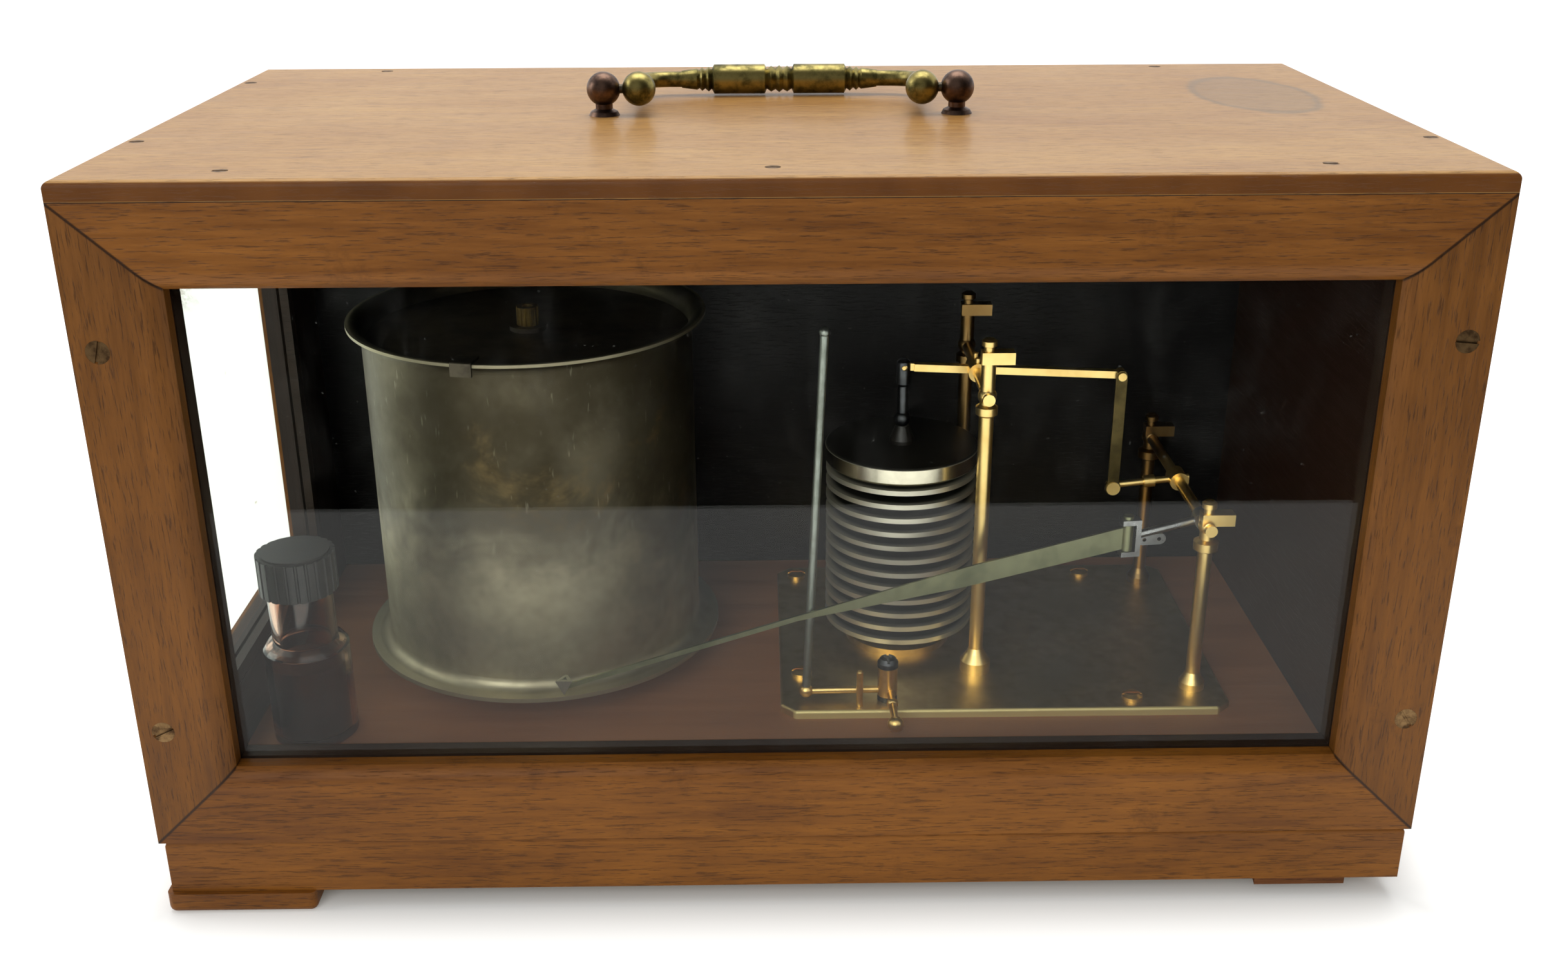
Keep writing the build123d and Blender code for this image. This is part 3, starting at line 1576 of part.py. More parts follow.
def make_ink_cap():
    low = floor_z + ink_cap_seat
    top = low + ink_cap_h
    with BuildPart() as ink_cap:
        with BuildSketch(Plane.XY.offset(low)):
            with Locations((bottle_x, bottle_y)):
                Circle(ink_cap_r)
                with PolarLocations(ink_cap_r, cap_ribs):
                    Circle(0.45, mode=Mode.SUBTRACT)
        extrude(amount=ink_cap_h)
        with BuildSketch(Plane.XY.offset(low)):
            with Locations((bottle_x, bottle_y)):
                Circle(neck_r + ink_cap_gap)
        extrude(amount=neck_top_h - ink_cap_seat, mode=Mode.SUBTRACT)
        with BuildSketch(Plane.XY.offset(top)):
            with Locations((bottle_x, bottle_y)):
                Circle(ink_cap_r - 1.2)
        extrude(amount=0.5)
    return ink_cap.part


# All pieces of the model
pieces = {
    "base_board": make_base_board,
    "feet": make_feet,
    "foot_stub": make_foot_stub,
    "bed_plate": make_bed_plate,
    "bed_screws": make_bed_screws,
    "lever_posts": make_lever_posts,
    "pen_posts": make_pen_posts,
    "post_cap_screws": make_cap_screws,
    "pivot_screws": make_pivot_screws,
    "capsule_foot": make_stack_foot,
    "aneroid_capsules": make_capsules,
    "stop_pin": make_stop_pin,
    "lifter_stud": make_lifter_stud,
    "drum_spindle": make_drum_spindle,
    "sun_wheel": make_sun_wheel,
    "drum_nut": make_drum_nut,
    "top_board": make_top_board,
    "front_glass": make_front_glass,
    "glazing_beads": make_glazing_beads,
    "side_stiles_left": make_side_stiles,
    "side_rails_left": make_side_rails,
    "side_glass": make_side_glass,
    "side_panel_right": make_side_panel,
    "back_panel": make_back_panel,
    "frame_screws": make_frame_screws,
    "top_screws": make_top_screws,
    "handle_posts": make_handle_posts,
    "handle_nuts": make_handle_nuts,
    "handle_pivots": make_handle_pivots,
    "handle_bail": make_handle_bail,
    "handle_grip": make_handle_grip,
    "drum_shell": make_drum_shell,
    "drum_flange": make_drum_flange,
    "drum_rim": make_drum_rim,
    "drum_lid": make_drum_lid,
    "chart_clip": make_chart_clip,
    "drum_floor": make_drum_floor,
    "clock_plate_upper": make_clock_upper,
    "clock_pillars": make_clock_pillars,
    "mainspring_barrel": make_mainspring_barrel,
    "drive_pinion": make_drive_pinion,
    "lever_arbor": make_lever_arbor,
    "lever_arm": make_lever,
    "link": make_link,
    "capsule_top_cap": make_stack_cap,
    "capsule_stem": make_stem,
    "pen_arbor": make_pen_arbor,
    "crank_arm": make_crank,
    "pen_hub": make_pen_hub,
    "pen_arm": make_pen_arm,
    "pen_nib": make_pen_nib,
    "lifter_hub": make_lifter_hub,
    "lifter_arm": make_lifter_arm,
    "lifter_rod": make_lifter_rod,
    "ink_bottle": make_ink_bottle,
    "ink_cap": make_ink_cap,
}
for name, make in pieces.items():
    finish(make(), name)
make_front_frame()
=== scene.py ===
import bpy
import math
from mathutils import Matrix, Vector


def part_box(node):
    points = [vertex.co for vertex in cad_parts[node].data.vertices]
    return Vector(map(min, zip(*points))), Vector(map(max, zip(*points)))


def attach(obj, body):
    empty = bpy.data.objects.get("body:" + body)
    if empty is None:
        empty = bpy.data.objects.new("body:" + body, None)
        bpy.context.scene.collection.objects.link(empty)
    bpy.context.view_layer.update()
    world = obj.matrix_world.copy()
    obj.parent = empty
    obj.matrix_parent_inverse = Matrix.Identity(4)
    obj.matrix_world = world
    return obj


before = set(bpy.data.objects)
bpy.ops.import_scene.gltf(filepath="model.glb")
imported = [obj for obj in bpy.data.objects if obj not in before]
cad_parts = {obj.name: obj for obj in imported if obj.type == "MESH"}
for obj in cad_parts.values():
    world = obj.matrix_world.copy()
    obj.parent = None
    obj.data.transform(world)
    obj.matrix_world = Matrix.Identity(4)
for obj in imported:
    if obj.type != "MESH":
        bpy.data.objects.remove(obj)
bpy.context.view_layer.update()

# Wooden case: base board, feet, mitred front frame, sides, back and top of a plain reddish
# brown hardwood, sawn along the grain, glued and screwed, then oiled and rubbed to a low
# shine. Age has darkened the pores, the mitres and the edges that hands touch.


class Amount:
    """A value in a material, so that sums of values can be written as expressions"""

    def __init__(self, finish, socket):
        self.finish = finish
        self.socket = socket

    def maths(self, operation, *values):
        return self.finish.node("ShaderNodeMath", {"operation": operation}, *values)

    def __add__(self, other):
        return self.maths("ADD", self, other)

    __radd__ = __add__

    def __sub__(self, other):
        return self.maths("SUBTRACT", self, other)

    def __rsub__(self, other):
        return self.maths("SUBTRACT", other, self)

    def __mul__(self, other):
        return self.maths("MULTIPLY", self, other)

    __rmul__ = __mul__

    def __truediv__(self, other):
        return self.maths("DIVIDE", self, other)

    def __pow__(self, other):
        return self.maths("POWER", self, other)

    def __abs__(self):
        return self.maths("ABSOLUTE", self)

    def most(self, other):
        return self.maths("MAXIMUM", self, other)

    def least(self, other):
        return self.maths("MINIMUM", self, other)

    def between(self, low, high):
        # 0 below the first value, 1 above the second, smooth in between
        settings = {"interpolation_type": "SMOOTHSTEP"}
        return self.finish.node("ShaderNodeMapRange", settings, self, low, high, 0.0, 1.0)


class Finish:
    """A material with one Principled shader, made node by node"""

    def __init__(self, name):
        self.material = bpy.data.materials.new(name)
        self.material.use_nodes = True
        self.tree = self.material.node_tree
        self.shader = self.tree.nodes["Principled BSDF"]
        self.output = self.tree.nodes["Material Output"]

    def node(self, kind, settings, *values, out=0, **named):
        made = self.tree.nodes.new(kind)
        for key, value in settings.items():
            if key == "stops":
                ramp = made.color_ramp
                while len(ramp.elements) < len(value):
                    ramp.elements.new(0.5)
                for stop, (place, colour) in zip(ramp.elements, value):
                    stop.position = place
                    stop.color = (*colour, 1.0)
            else:
                setattr(made, key, value)
        sockets = [s for s in made.inputs if s.enabled]
        for socket, value in zip(sockets, values):
            self.give(socket, value)
        for key, value in named.items():
            self.give(made.inputs[key.replace("_", " ")], value)
        if isinstance(out, str):
            return Amount(self, made.outputs[out])
        outputs = [s for s in made.outputs if s.enabled]
        return Amount(self, outputs[out])

    def give(self, socket, value):
        if value is None:
            return
        if isinstance(value, Amount):
            self.tree.links.new(value.socket, socket)
        elif isinstance(value, tuple) and socket.type == "RGBA" and len(value) == 3:
            socket.default_value = (*value, 1.0)
        else:
            socket.default_value = value

    def place(self):
        return self.node("ShaderNodeTexCoord", {}, out="Object")

    def where(self):
        # Place on the object as three values, in millimetres
        place = self.stretched((1000.0, 1000.0, 1000.0))
        split = self.node("ShaderNodeSeparateXYZ", {}, place).socket.node
        return [Amount(self, split.outputs[axis]) for axis in "XYZ"]

    def stretched(self, scale, place=None):
        place = place or self.place()
        return self.node("ShaderNodeVectorMath", {"operation": "MULTIPLY"}, place, scale)

    def moved(self, shift, place=None):
        place = place or self.place()
        return self.node("ShaderNodeVectorMath", {"operation": "ADD"}, place, shift)

    def noise(self, place, scale, detail=2.0, rough=0.5, distortion=0.0):
        values = dict(Vector=place, Scale=scale, Detail=detail, Roughness=rough)
        return self.node("ShaderNodeTexNoise", {}, out="Fac", Distortion=distortion, **values)

    def mix(self, amount, first, second, way="MIX"):
        settings = {"data_type": "RGBA", "blend_type": way, "clamp_factor": True}
        return self.node("ShaderNodeMix", settings, amount, first, second)

    def bump(self, height, depth, strength=1.0):
        made = self.node("ShaderNodeBump", {}, Strength=strength, Distance=depth, Height=height)
        self.tree.links.new(made.socket, self.shader.inputs["Normal"])

    def set(self, **values):
        for key, value in values.items():
            self.give(self.shader.inputs[key.replace("_", " ")], value)
        return self

    def colour(self):
        return Amount(self, self.shader.inputs["Base Color"].links[0].from_socket)

    def apply(self, *nodes):
        for name in nodes:
            mesh = (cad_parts[name] if isinstance(name, str) else name).data
            mesh.materials.clear()
            mesh.materials.append(self.material)


def seen(red, green, blue):
    # A colour as a screen shows it, 0 to 255, turned into light values
    channels = [value / 255 for value in (red, green, blue)]
    return tuple(c / 12.92 if c < 0.04045 else ((c + 0.055) / 1.055) ** 2.4 for c in channels)


def darker(colour, share):
    return tuple(value * share for value in colour)


def mitre_lines(finish):
    # Dark line where stiles and rails meet: from the frame's corners to the window's corners
    x, y, z = finish.where()
    side = abs(x) - 129.6
    low = abs(side * (19.6 / 20.4) - (39.6 - z)) * 0.72
    high = abs(side * (18.6 / 20.4) - (z - 155.2)) * 0.74
    return (1.0 - low.least(high).between(0.12, 0.50)) * side.between(-0.3, 0.3)


def wood(name, grain, light, dark, shift=0.0, wear=0.3, gloss=0.40, lines=None, inside=None):
    # Fibres run along the grain axis: the pattern is drawn out along it and fine across it
    finish = Finish(name)
    along = "XYZ".index(grain)
    board_scale = tuple(0.08 if axis == along else 1.0 for axis in range(3))
    pore_scale = tuple(0.06 if axis == along else 1.0 for axis in range(3))
    start = finish.moved((shift, shift * 0.7, shift * 1.3))
    board = finish.stretched(board_scale, start)
    figure = finish.noise(board, 60.0, 5.0, 0.62, 0.9)
    streaks = finish.noise(board, 520.0, 5.0, 0.70, 0.3)
    pores = finish.noise(finish.stretched(pore_scale, start), 2900.0, 3.0, 0.62)
    cloud = finish.noise(start, 9.0, 4.0, 0.60, 0.6)
    tone = figure * 0.28 + streaks * 0.36 + cloud * 0.36
    middle = tuple((a + b) / 2 for a, b in zip(light, dark))
    stops = [(0.36, dark), (0.50, middle), (0.64, light)]
    colour = finish.node("ShaderNodeValToRGB", {"stops": stops}, tone)
    pore = pores.between(0.55, 0.66) * 0.55
    colour = finish.mix(pore, colour, darker(dark, 0.30))
    if wear:
        grime = finish.noise(start, 60.0, 6.0, 0.78).between(0.56, 0.72) * wear
        colour = finish.mix(grime, colour, darker(dark, 0.42))
    if lines:
        colour = finish.mix(lines(finish) * 0.85, colour, darker(dark, 0.12))
    # Painted shade: faces on the inner side of the limit are darkened, as shade inside the case
    if inside:
        axis, limit, sign, shade = inside
        places = finish.where()
        depth = (places[axis] - limit) * sign
        painted_inside_shade = depth.between(-0.1, 0.1) * (1.0 - places[1].between(80.2, 80.4))
        colour = finish.mix(painted_inside_shade, colour, shade)
    finish.set(Base_Color=colour, Roughness=gloss + 0.20 * streaks - 0.08 * cloud)
    finish.set(Specular_IOR_Level=0.22, Coat_Weight=0.03, Coat_Roughness=0.22)
    finish.bump(streaks * 0.5 - pore * 1.6, 0.00010, 0.55)
    return finish


case_light = seen(156, 98, 34)
case_dark = seen(96, 54, 14)
# Painted shade: the stiles take the rails' wood colour made darker, as shade on the front frame
stile_shaded_light, stile_shaded_dark = seen(134, 84, 30), seen(80, 46, 12)
wood("case wood, rails", "X", case_light, case_dark, 0.0, 0.35, 0.38, mitre_lines).apply(
    "frame_rail_top", "frame_rail_bottom"
)
wood("case wood, stiles", "Z", stile_shaded_light, stile_shaded_dark, 0.21, 0.35, 0.38, mitre_lines).apply(
    "frame_stile_left", "frame_stile_right"
)
# The inner faces are painted dark as shade inside the case: axis, where the painted shade
# starts, its side and its colour
left_inside = (0, -149.0, 1.0, seen(46, 33, 27))
right_inside = (0, 140.7, -1.0, seen(52, 34, 26))
back_inside = (1, 70.7, -1.0, seen(7, 6, 6))
top_inside = (2, 174.0, -1.0, seen(40, 26, 20))
wood("case wood, side stiles", "Z", case_light, case_dark, 0.33, inside=left_inside).apply(
    "side_stiles_left"
)
wood("case wood, side rails", "Y", case_light, case_dark, 0.55, inside=left_inside).apply(
    "side_rails_left"
)
wood("case wood, feet", "X", case_light, case_dark, 0.63).apply("feet")
wood("torn wood", "X", seen(132, 82, 44), seen(80, 46, 24), 0.9, 0.6, 0.75).apply("foot_stub")
wood("glazing wood", "X", seen(60, 44, 36), seen(34, 24, 18), 0.44).apply("glazing_beads")
wood("case wood, right side", "Y", case_light, case_dark, 0.71, inside=right_inside).apply(
    "side_panel_right"
)
wood("case wood, back", "X", case_light, case_dark, 0.12, inside=back_inside).apply(
    "back_panel"
)


def base_wood():
    # The top of the raised plinth is the floor of the case, of a redder wood
    floor_z = 23.0
    finish = wood("case wood, base", "X", case_light, case_dark, 0.37)
    outside = finish.colour()
    plinth = finish.where()[2].between(floor_z - 0.2, floor_z)
    red = finish.noise(finish.stretched((0.1, 1.0, 1.0)), 120.0, 4.0, 0.6)
    floor = finish.mix(red, seen(182, 124, 84), seen(122, 76, 48))
    return finish.set(Base_Color=finish.mix(plinth, outside, floor))


base_wood().apply("base_board")


def top_wood():
    # The upper face is painted paler than the front as light from above, and marked by use,
    # with a dull ringed patch near the back right. Its edge has the darker colour of the front.
    light, dark = seen(190, 146, 84), seen(150, 102, 46)
    under_z, upper_z = 174.0, 178.1
    patch_x, patch_y = 124.0, 22.0
    finish = wood("case wood, top", "X", light, dark, 0.83, 0.12, 0.34, inside=top_inside)
    colour = finish.colour()
    x, y, z = finish.where()
    ragged = finish.noise(finish.place(), 60.0, 4.0, 0.6) * 0.35
    aside, behind = x - patch_x, y - patch_y
    reach = (aside * aside / 240.0 + behind * behind / 900.0) ** 0.5 + ragged
    patch = (1.0 - reach.between(1.05, 1.22)) * 0.35
    ring = (1.0 - abs(reach - 1.14).between(0.0, 0.12)) * 0.45
    upper = z.between(upper_z - 0.4, upper_z)
    colour = finish.mix((patch + ring) * upper, colour, seen(108, 90, 68))
    dents = finish.noise(finish.place(), 34.0, 4.0, 0.7).between(0.60, 0.70) * 0.22
    colour = finish.mix(dents, colour, seen(128, 90, 54))
    bands = finish.noise(finish.place(), 90.0, 3.0)
    edge = finish.mix(bands, seen(122, 74, 28), seen(88, 50, 16))
    lower = 1.0 - z.between(under_z, under_z + 0.2)
    colour = finish.mix(upper.most(lower), edge, colour)
    return finish.set(Base_Color=colour, Coat_Weight=0.14, Coat_Roughness=0.14)


top_wood().apply("top_board")


# Brass and steel fittings: turned, filed and lacquered brass that has gone olive where hands
# touch it, and plain steel pins. Fine lines run round turned pieces from the tool.


def metal(name, bright, dull, rough=0.28, tarnish=0.5, grain=180.0, turning=0.0):
    finish = Finish(name)
    place = finish.place()
    cloud = finish.noise(place, grain, 5.0, 0.62)
    spots = finish.noise(place, 1100.0, 2.0, 0.5)
    stain = cloud.between(0.36, 0.70) * tarnish
    colour = finish.mix(stain, bright, dull)
    finish.set(Base_Color=colour, Metallic=1.0, Roughness=rough + 0.14 * stain + 0.04 * spots)
    height = spots * 0.25
    if turning:
        rings = finish.noise(finish.stretched((0.02, 0.02, 1.0)), 2400.0, 1.0)
        height = height + rings * turning
    finish.bump(height, 0.00001, 0.30)
    return finish


def works_brass():
    # Bright brass in front; the two posts at the back are painted brown as shade
    bright, dull = seen(252, 220, 144), seen(226, 184, 104)
    finish = metal("lacquered brass, works", bright, dull, 0.30, 0.45, 140.0, 0.5)
    back_post_shade = finish.where()[1].between(24.0, 34.0) * 0.82
    return finish.set(Base_Color=finish.mix(back_post_shade, finish.colour(), seen(92, 58, 30)))


works_brass().apply(
    "lever_posts", "pen_posts", "post_cap_screws", "pivot_screws", "lever_arbor",
    "lever_arm", "pen_arbor", "crank_arm",
)
metal("lacquered brass", seen(240, 206, 132), seen(204, 162, 88), 0.28, 0.8, 140.0, 0.5).apply(
    "bed_screws", "capsule_foot", "stop_pin", "lifter_hub", "lifter_arm", "sun_wheel",
    "drum_floor", "clock_plate_upper", "clock_pillars", "mainspring_barrel", "handle_nuts",
)
metal("dull brass", seen(132, 108, 58), seen(84, 66, 34), 0.36, 0.8, 200.0).apply("drum_nut")


def bed_brass():
    # Dull on the flat, with a painted highlight along the front edge
    front_y = -30.2
    finish = metal("bed brass", seen(214, 192, 140), seen(160, 134, 90), 0.36, 0.8, 50.0)
    # Painted highlight: the front edge is made brighter and less metallic
    edge = 1.0 - finish.where()[1].between(front_y, front_y + 0.7)
    colour = finish.mix(edge, finish.colour(), seen(236, 216, 148))
    return finish.set(Base_Color=colour, Metallic=1.0 - edge * 0.6)


bed_brass().apply("bed_plate")
metal("handle brass", seen(158, 144, 86), seen(74, 70, 38), 0.30, 1.0, 260.0).apply(
    "handle_bail", "handle_grip"
)
metal("post bronze", seen(112, 88, 74), seen(56, 44, 40), 0.32, 1.0, 240.0).apply(
    "handle_posts"
)
metal("dull screws", seen(132, 104, 70), seen(66, 46, 30), 0.42, 0.9, 500.0).apply(
    "frame_screws", "top_screws"
)
metal("steel", seen(176, 178, 178), seen(120, 118, 112), 0.24, 0.6).apply(
    "drum_spindle", "drive_pinion", "pen_hub"
)
metal("dark steel", seen(84, 78, 66), seen(48, 44, 38), 0.4, 0.8).apply(
    "chart_clip", "handle_pivots"
)
metal("lifter steel", seen(150, 156, 148), seen(112, 116, 106), 0.40, 0.6).apply("lifter_rod")
metal("blued steel", seen(84, 86, 88), seen(46, 46, 48), 0.30, 0.6).apply(
    "capsule_stem", "lifter_stud"
)
metal("link bronze", seen(96, 84, 52), seen(58, 50, 34), 0.36, 0.6).apply("link")
metal("pen metal", seen(150, 152, 118), seen(104, 108, 82), 0.42, 0.9, 70.0).apply("pen_arm")
metal("nib metal", seen(190, 190, 176), seen(150, 150, 136), 0.35, 0.6).apply("pen_nib")


# Drum: sheet brass that was nickelled and has gone grey-green, with a bright rubbed edge on the
# rim and foot ring, and a lid lacquered black. Its colour is darker towards the rim.
def drum_metal():
    finish = metal("drum metal", seen(172, 164, 138), seen(112, 104, 84), 0.44, 0.9, 24.0, 0.3)
    low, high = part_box("drum_shell")
    middle = [(a + b) * 500 for a, b in zip(low, high)]
    x, y, z = finish.where()
    aside, behind = x - middle[0], y - middle[1]
    reach = (aside * aside + behind * behind) ** 0.5
    edge = (high[0] - low[0]) * 500 + 2.4
    rubbed = reach.between(edge, edge + 1.0)
    blotch = finish.noise(finish.place(), 30.0, 6.0, 0.70, 0.4)
    darker_above = (z + (blotch - 0.5) * 60.0).between(48.0, 86.0) * (0.60 + blotch * 0.35)
    colour = finish.mix(darker_above, finish.colour(), seen(40, 33, 22))
    colour = finish.mix(blotch.between(0.58, 0.75) * 0.35, colour, seen(150, 128, 86))
    upright = finish.stretched((1.0, 1.0, 0.15))
    scratches = finish.noise(upright, 900.0, 2.0, 0.6).between(0.66, 0.74)
    colour = finish.mix(scratches * 0.2, colour, seen(176, 172, 150))
    return finish.set(Base_Color=finish.mix(rubbed * 0.7, colour, seen(168, 160, 134)))


drum_metal().apply("drum_shell", "drum_flange", "drum_rim")
lid_lacquer = metal("lid lacquer", seen(58, 48, 36), seen(30, 26, 22), 0.45, 0.9, 60.0)
lid_lacquer.set(Metallic=0.35).apply("drum_lid")


# Aneroid capsules: corrugated nickel silver, bright on the rims, with painted shade in the
# folds between
def capsule_metal():
    stack_x, stack_y = 33.52, 14.5
    finish = metal("capsule metal", seen(236, 232, 214), seen(212, 206, 184), 0.34, 0.5, 90.0)
    x, y, z = finish.where()
    aside, behind = x - stack_x, y - stack_y
    fold_shade = 1.0 - ((aside * aside + behind * behind) ** 0.5).between(18.6, 20.7)
    colour = finish.mix(fold_shade * 0.92, finish.colour(), seen(38, 36, 32))
    return finish.set(Base_Color=colour, Metallic=0.85)


capsule_metal().apply("aneroid_capsules")


def cap_finish():
    # Bright rim, blackened upper face
    upper_z = 84.7
    finish = metal("capsule cap", seen(236, 230, 208), seen(206, 198, 174), 0.25, 0.6, 90.0)
    top = finish.where()[2].between(upper_z - 0.4, upper_z)
    colour = finish.mix(top, finish.colour(), seen(34, 31, 27))
    return finish.set(Base_Color=colour, Metallic=1.0 - 0.8 * top, Roughness=0.25 + 0.15 * top)


cap_finish().apply("capsule_top_cap")


# Window panes: plain drawn glass, with faint smears, specks of dust, and old putty and dirt in
# the upper left corner. Light for shadows and soft light goes straight through.
def glass(name, tint, bend=1.24, rough=0.0, smears=0.05, spotted=0.0):
    finish = Finish(name)
    place = finish.place()
    smear = finish.noise(finish.stretched((1.0, 1.0, 1.6)), 22.0, 4.0, 0.6).between(0.55, 0.85)
    dirt = finish.noise(place, 120.0, 4.0, 0.65).between(0.70, 0.78) * spotted
    stained = finish.mix(dirt, tint, seen(150, 124, 84))
    x, y, z = finish.where()
    corner = z.between(147.0, 155.0) * (1.0 - x.between(-129.0, -120.0))
    grime = finish.noise(place, 140.0, 5.0, 0.7).between(0.42, 0.58)
    stained = finish.mix(corner * grime, stained, seen(120, 88, 46))
    finish.set(Base_Color=stained, Roughness=rough + smears * smear)
    finish.set(Transmission_Weight=1.0, IOR=bend)
    wiped = finish.stretched((1.6, 1.0, 0.8))
    film = finish.noise(wiped, 60.0, 6.0, 0.78, 0.3).between(0.45, 0.85)
    specks = finish.noise(place, 900.0, 2.0, 0.6).between(0.70, 0.78)
    dust = finish.node("ShaderNodeBsdfDiffuse", {}, Color=(0.80, 0.80, 0.76))
    shadow = finish.node("ShaderNodeLightPath", {}, out="Is Shadow Ray")
    diffuse = Amount(finish, shadow.socket.node.outputs["Is Diffuse Ray"])
    clear = finish.node("ShaderNodeBsdfTransparent", {}, Color=tint)
    both = finish.node("ShaderNodeMixShader", {}, shadow.most(diffuse))
    finish.tree.links.new(finish.shader.outputs[0], both.socket.node.inputs[1])
    finish.tree.links.new(clear.socket, both.socket.node.inputs[2])
    dusty = finish.node("ShaderNodeMixShader", {}, film * 0.012 + specks * 0.07)
    finish.tree.links.new(both.socket, dusty.socket.node.inputs[1])
    finish.tree.links.new(dust.socket, dusty.socket.node.inputs[2])
    finish.tree.links.new(dusty.socket, finish.output.inputs["Surface"])
    return finish


glass("window glass", (0.97, 0.985, 0.96)).apply("front_glass")
glass("side window glass", (0.91, 0.97, 0.90), spotted=1.0).apply("side_glass")


# Ink bottle: pressed glass tinted reddish, a painted reflection of the case's wood, with a
# ribbed black screw cap. The ink inside has dried to a dark body.
glass("bottle glass", (0.62, 0.40, 0.30), 1.48, 0.04, 0.1).apply("ink_bottle")
cap_black = metal("cap black", seen(44, 43, 42), seen(70, 66, 62), 0.42, 0.6, 300.0)
cap_black.set(Metallic=0.0).apply("ink_cap")


def turned_mesh(name, middle, outline, steps=64):
    # Closed round mesh from pairs of radius and height in millimetres
    rings = []
    for radius, height in outline:
        angles = [2 * math.pi * step / steps for step in range(steps)]
        level = [(radius * math.cos(a), radius * math.sin(a)) for a in angles]
        ring = [(middle[0] + across, middle[1] + along, height) for across, along in level]
        rings.append([tuple(value / 1000 for value in point) for point in ring])
    points = [point for ring in rings for point in ring]
    faces = [tuple(range(steps))[::-1], tuple(range(len(points) - steps, len(points)))]
    for low in range(len(rings) - 1):
        for step in range(steps):
            after = (step + 1) % steps
            start, above = low * steps, (low + 1) * steps
            faces.append((start + step, start + after, above + after, above + step))
    mesh = bpy.data.meshes.new(name)
    mesh.from_pydata(points, [], faces)
    mesh.validate()
    for polygon in mesh.polygons:
        polygon.use_smooth = len(polygon.vertices) == 4
    made = bpy.data.objects.new(name, mesh)
    bpy.context.scene.collection.objects.link(made)
    return made


bottle_middle = (-123.5, -33.5)
ink_outline = [(9.0, 25.5), (9.1, 26.0), (9.1, 44.5), (8.9, 44.6)]
ink = turned_mesh("ink", bottle_middle, ink_outline)
ink_black = Finish("dried ink")
crust = ink_black.noise(ink_black.place(), 320.0, 4.0, 0.6)
dried = ink_black.mix(crust, seen(30, 20, 18), seen(62, 36, 26))
ink_black.set(Base_Color=dried, Roughness=0.35 + 0.3 * crust)
ink_black.apply(ink)
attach(ink, "bottle")


# Room: pale table, white behind, a dark sheet in front of the case, a painted reflection of a
# dark room that only shows in the panes, soft lamps above, and the camera at the photograph's
# place
def sheet(name, corners):
    mesh = bpy.data.meshes.new(name)
    mesh.from_pydata(corners, [], [(0, 1, 2, 3)])
    made = bpy.data.objects.new(name, mesh)
    bpy.context.scene.collection.objects.link(made)
    return made


table = sheet("table", [(-4, -4, 0), (4, -4, 0), (4, 4, 0), (-4, 4, 0)])
paper = Finish("pale table")
shown = paper.node("ShaderNodeLightPath", {}, out="Is Camera Ray")
for ray in ("Is Glossy Ray", "Is Transmission Ray"):
    shown = shown.most(paper.node("ShaderNodeLightPath", {}, out=ray))
across, along, up_high = paper.where()
away = (abs(across) - 150.0).most(abs(along) - 80.0)
# Under the case and close to it the table's glow is turned down, a painted soft shadow
near_white = paper.mix(away.between(-12.0, 22.0), (0.05, 0.05, 0.04), (0.72, 0.72, 0.70))
haze = paper.mix(away.between(20.0, 500.0), near_white, (0.72, 0.72, 0.72))
paper.set(Base_Color=(0.80, 0.80, 0.79), Roughness=0.95, Specular_IOR_Level=0.1)
paper.set(Emission_Color=paper.mix(shown, (0.0, 0.0, 0.0), haze), Emission_Strength=1.0)
paper.apply(table)

# Painted reflection: a dark sheet that stands for the dark room and is seen only in reflections
dark_sheet_y = -0.3155
dark_sheet_corners = [(-3, dark_sheet_y, 0), (3, dark_sheet_y, 0), (3, dark_sheet_y, 2.5), (-3, dark_sheet_y, 2.5)]
dark_sheet = sheet("dark room", dark_sheet_corners)
dark_sheet_finish = Finish("dark room")
dark_sheet_finish.set(Base_Color=(0.002, 0.002, 0.002), Roughness=1.0, Specular_IOR_Level=0.0)
through = dark_sheet_finish.node("ShaderNodeLightPath", {}, out="Transmission Depth")
open_air = dark_sheet_finish.node("ShaderNodeBsdfTransparent", {}, Color=(1.0, 1.0, 1.0))
shut = dark_sheet_finish.node("ShaderNodeMixShader", {}, through.maths("GREATER_THAN", through, 2.5))
dark_sheet_finish.tree.links.new(dark_sheet_finish.shader.outputs[0], shut.socket.node.inputs[1])
dark_sheet_finish.tree.links.new(open_air.socket, shut.socket.node.inputs[2])
dark_sheet_finish.tree.links.new(shut.socket, dark_sheet_finish.output.inputs["Surface"])
dark_sheet_finish.apply(dark_sheet)
dark_sheet.visible_camera = False
dark_sheet.visible_diffuse = False
dark_sheet.visible_shadow = False


def lamp(name, place, aim, size, power, size_y=None):
    light = bpy.data.lights.new(name, "AREA")
    light.shape = "RECTANGLE"
    light.size, light.size_y = size, size_y or size
    light.energy = power
    made = bpy.data.objects.new(name, light)
    bpy.context.scene.collection.objects.link(made)
    made.location = place
    made.rotation_euler = (Vector(aim) - Vector(place)).to_track_quat("-Z", "Y").to_euler()


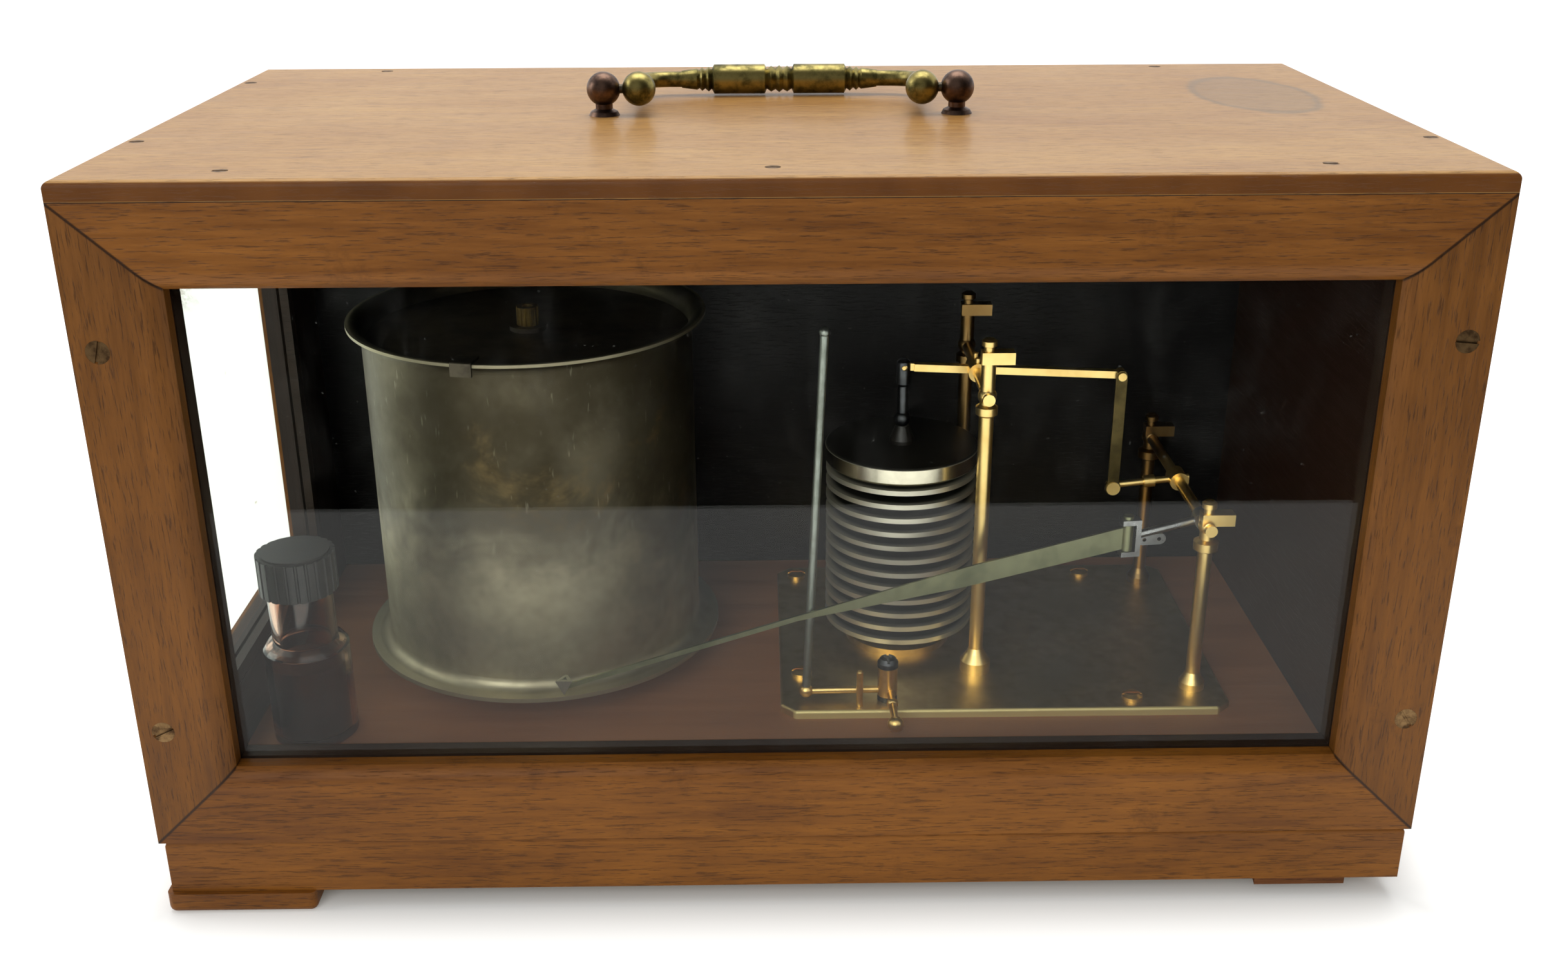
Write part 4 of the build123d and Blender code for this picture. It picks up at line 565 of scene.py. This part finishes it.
lamp("overhead softbox", (0.0, 0.35, 1.5), (0, 0, 0.1), 1.4, 15, 1.0)
lamp("front softbox", (-0.45, -1.3, 0.75), (0, 0, 0.08), 0.9, 7)
lamp("left softbox", (-1.4, 0.0, 0.7), (0, 0, 0.1), 0.9, 6)

world = bpy.data.worlds.new("room")
bpy.context.scene.world = world
world.use_nodes = True
sky = world.node_tree.nodes["Background"]
rays = world.node_tree.nodes.new("ShaderNodeLightPath")
either = world.node_tree.nodes.new("ShaderNodeMath")
either.operation = "ADD"
world.node_tree.links.new(rays.outputs["Is Camera Ray"], either.inputs[0])
world.node_tree.links.new(rays.outputs["Is Glossy Ray"], either.inputs[1])
any_ray = world.node_tree.nodes.new("ShaderNodeMath")
any_ray.operation = "ADD"
world.node_tree.links.new(either.outputs[0], any_ray.inputs[0])
world.node_tree.links.new(rays.outputs["Is Transmission Ray"], any_ray.inputs[1])
level = world.node_tree.nodes.new("ShaderNodeMapRange")
world.node_tree.links.new(any_ray.outputs[0], level.inputs["Value"])
level.inputs["To Min"].default_value = 0.40
level.inputs["To Max"].default_value = 1.0
sky.inputs["Color"].default_value = (1, 1, 1, 1)
world.node_tree.links.new(level.outputs[0], sky.inputs["Strength"])

camera_data = bpy.data.cameras.new("camera")
camera = bpy.data.objects.new("camera", camera_data)
bpy.context.scene.collection.objects.link(camera)
pitch, yaw, roll = (math.radians(v) for v in (22.3685, 0.7638, -0.2314))
level = Vector((math.sin(yaw), math.cos(yaw), 0.0)) * math.cos(pitch)
forward = level - Vector((0.0, 0.0, math.sin(pitch)))
flat_right = forward.cross(Vector((0, 0, 1))).normalized()
flat_up = flat_right.cross(forward)
right = flat_right * math.cos(roll) + flat_up * math.sin(roll)
up = flat_up * math.cos(roll) - flat_right * math.sin(roll)
turn = Matrix((right, up, -forward)).transposed().to_4x4()
camera.matrix_world = Matrix.Translation((-0.00493, -0.40603, 0.24443)) @ turn
camera_data.sensor_width = 36
camera_data.lens = 36 * 2505.69 / 2434
camera_data.clip_start = 0.01
bpy.context.scene.camera = camera
bpy.context.scene.view_settings.view_transform = "Standard"
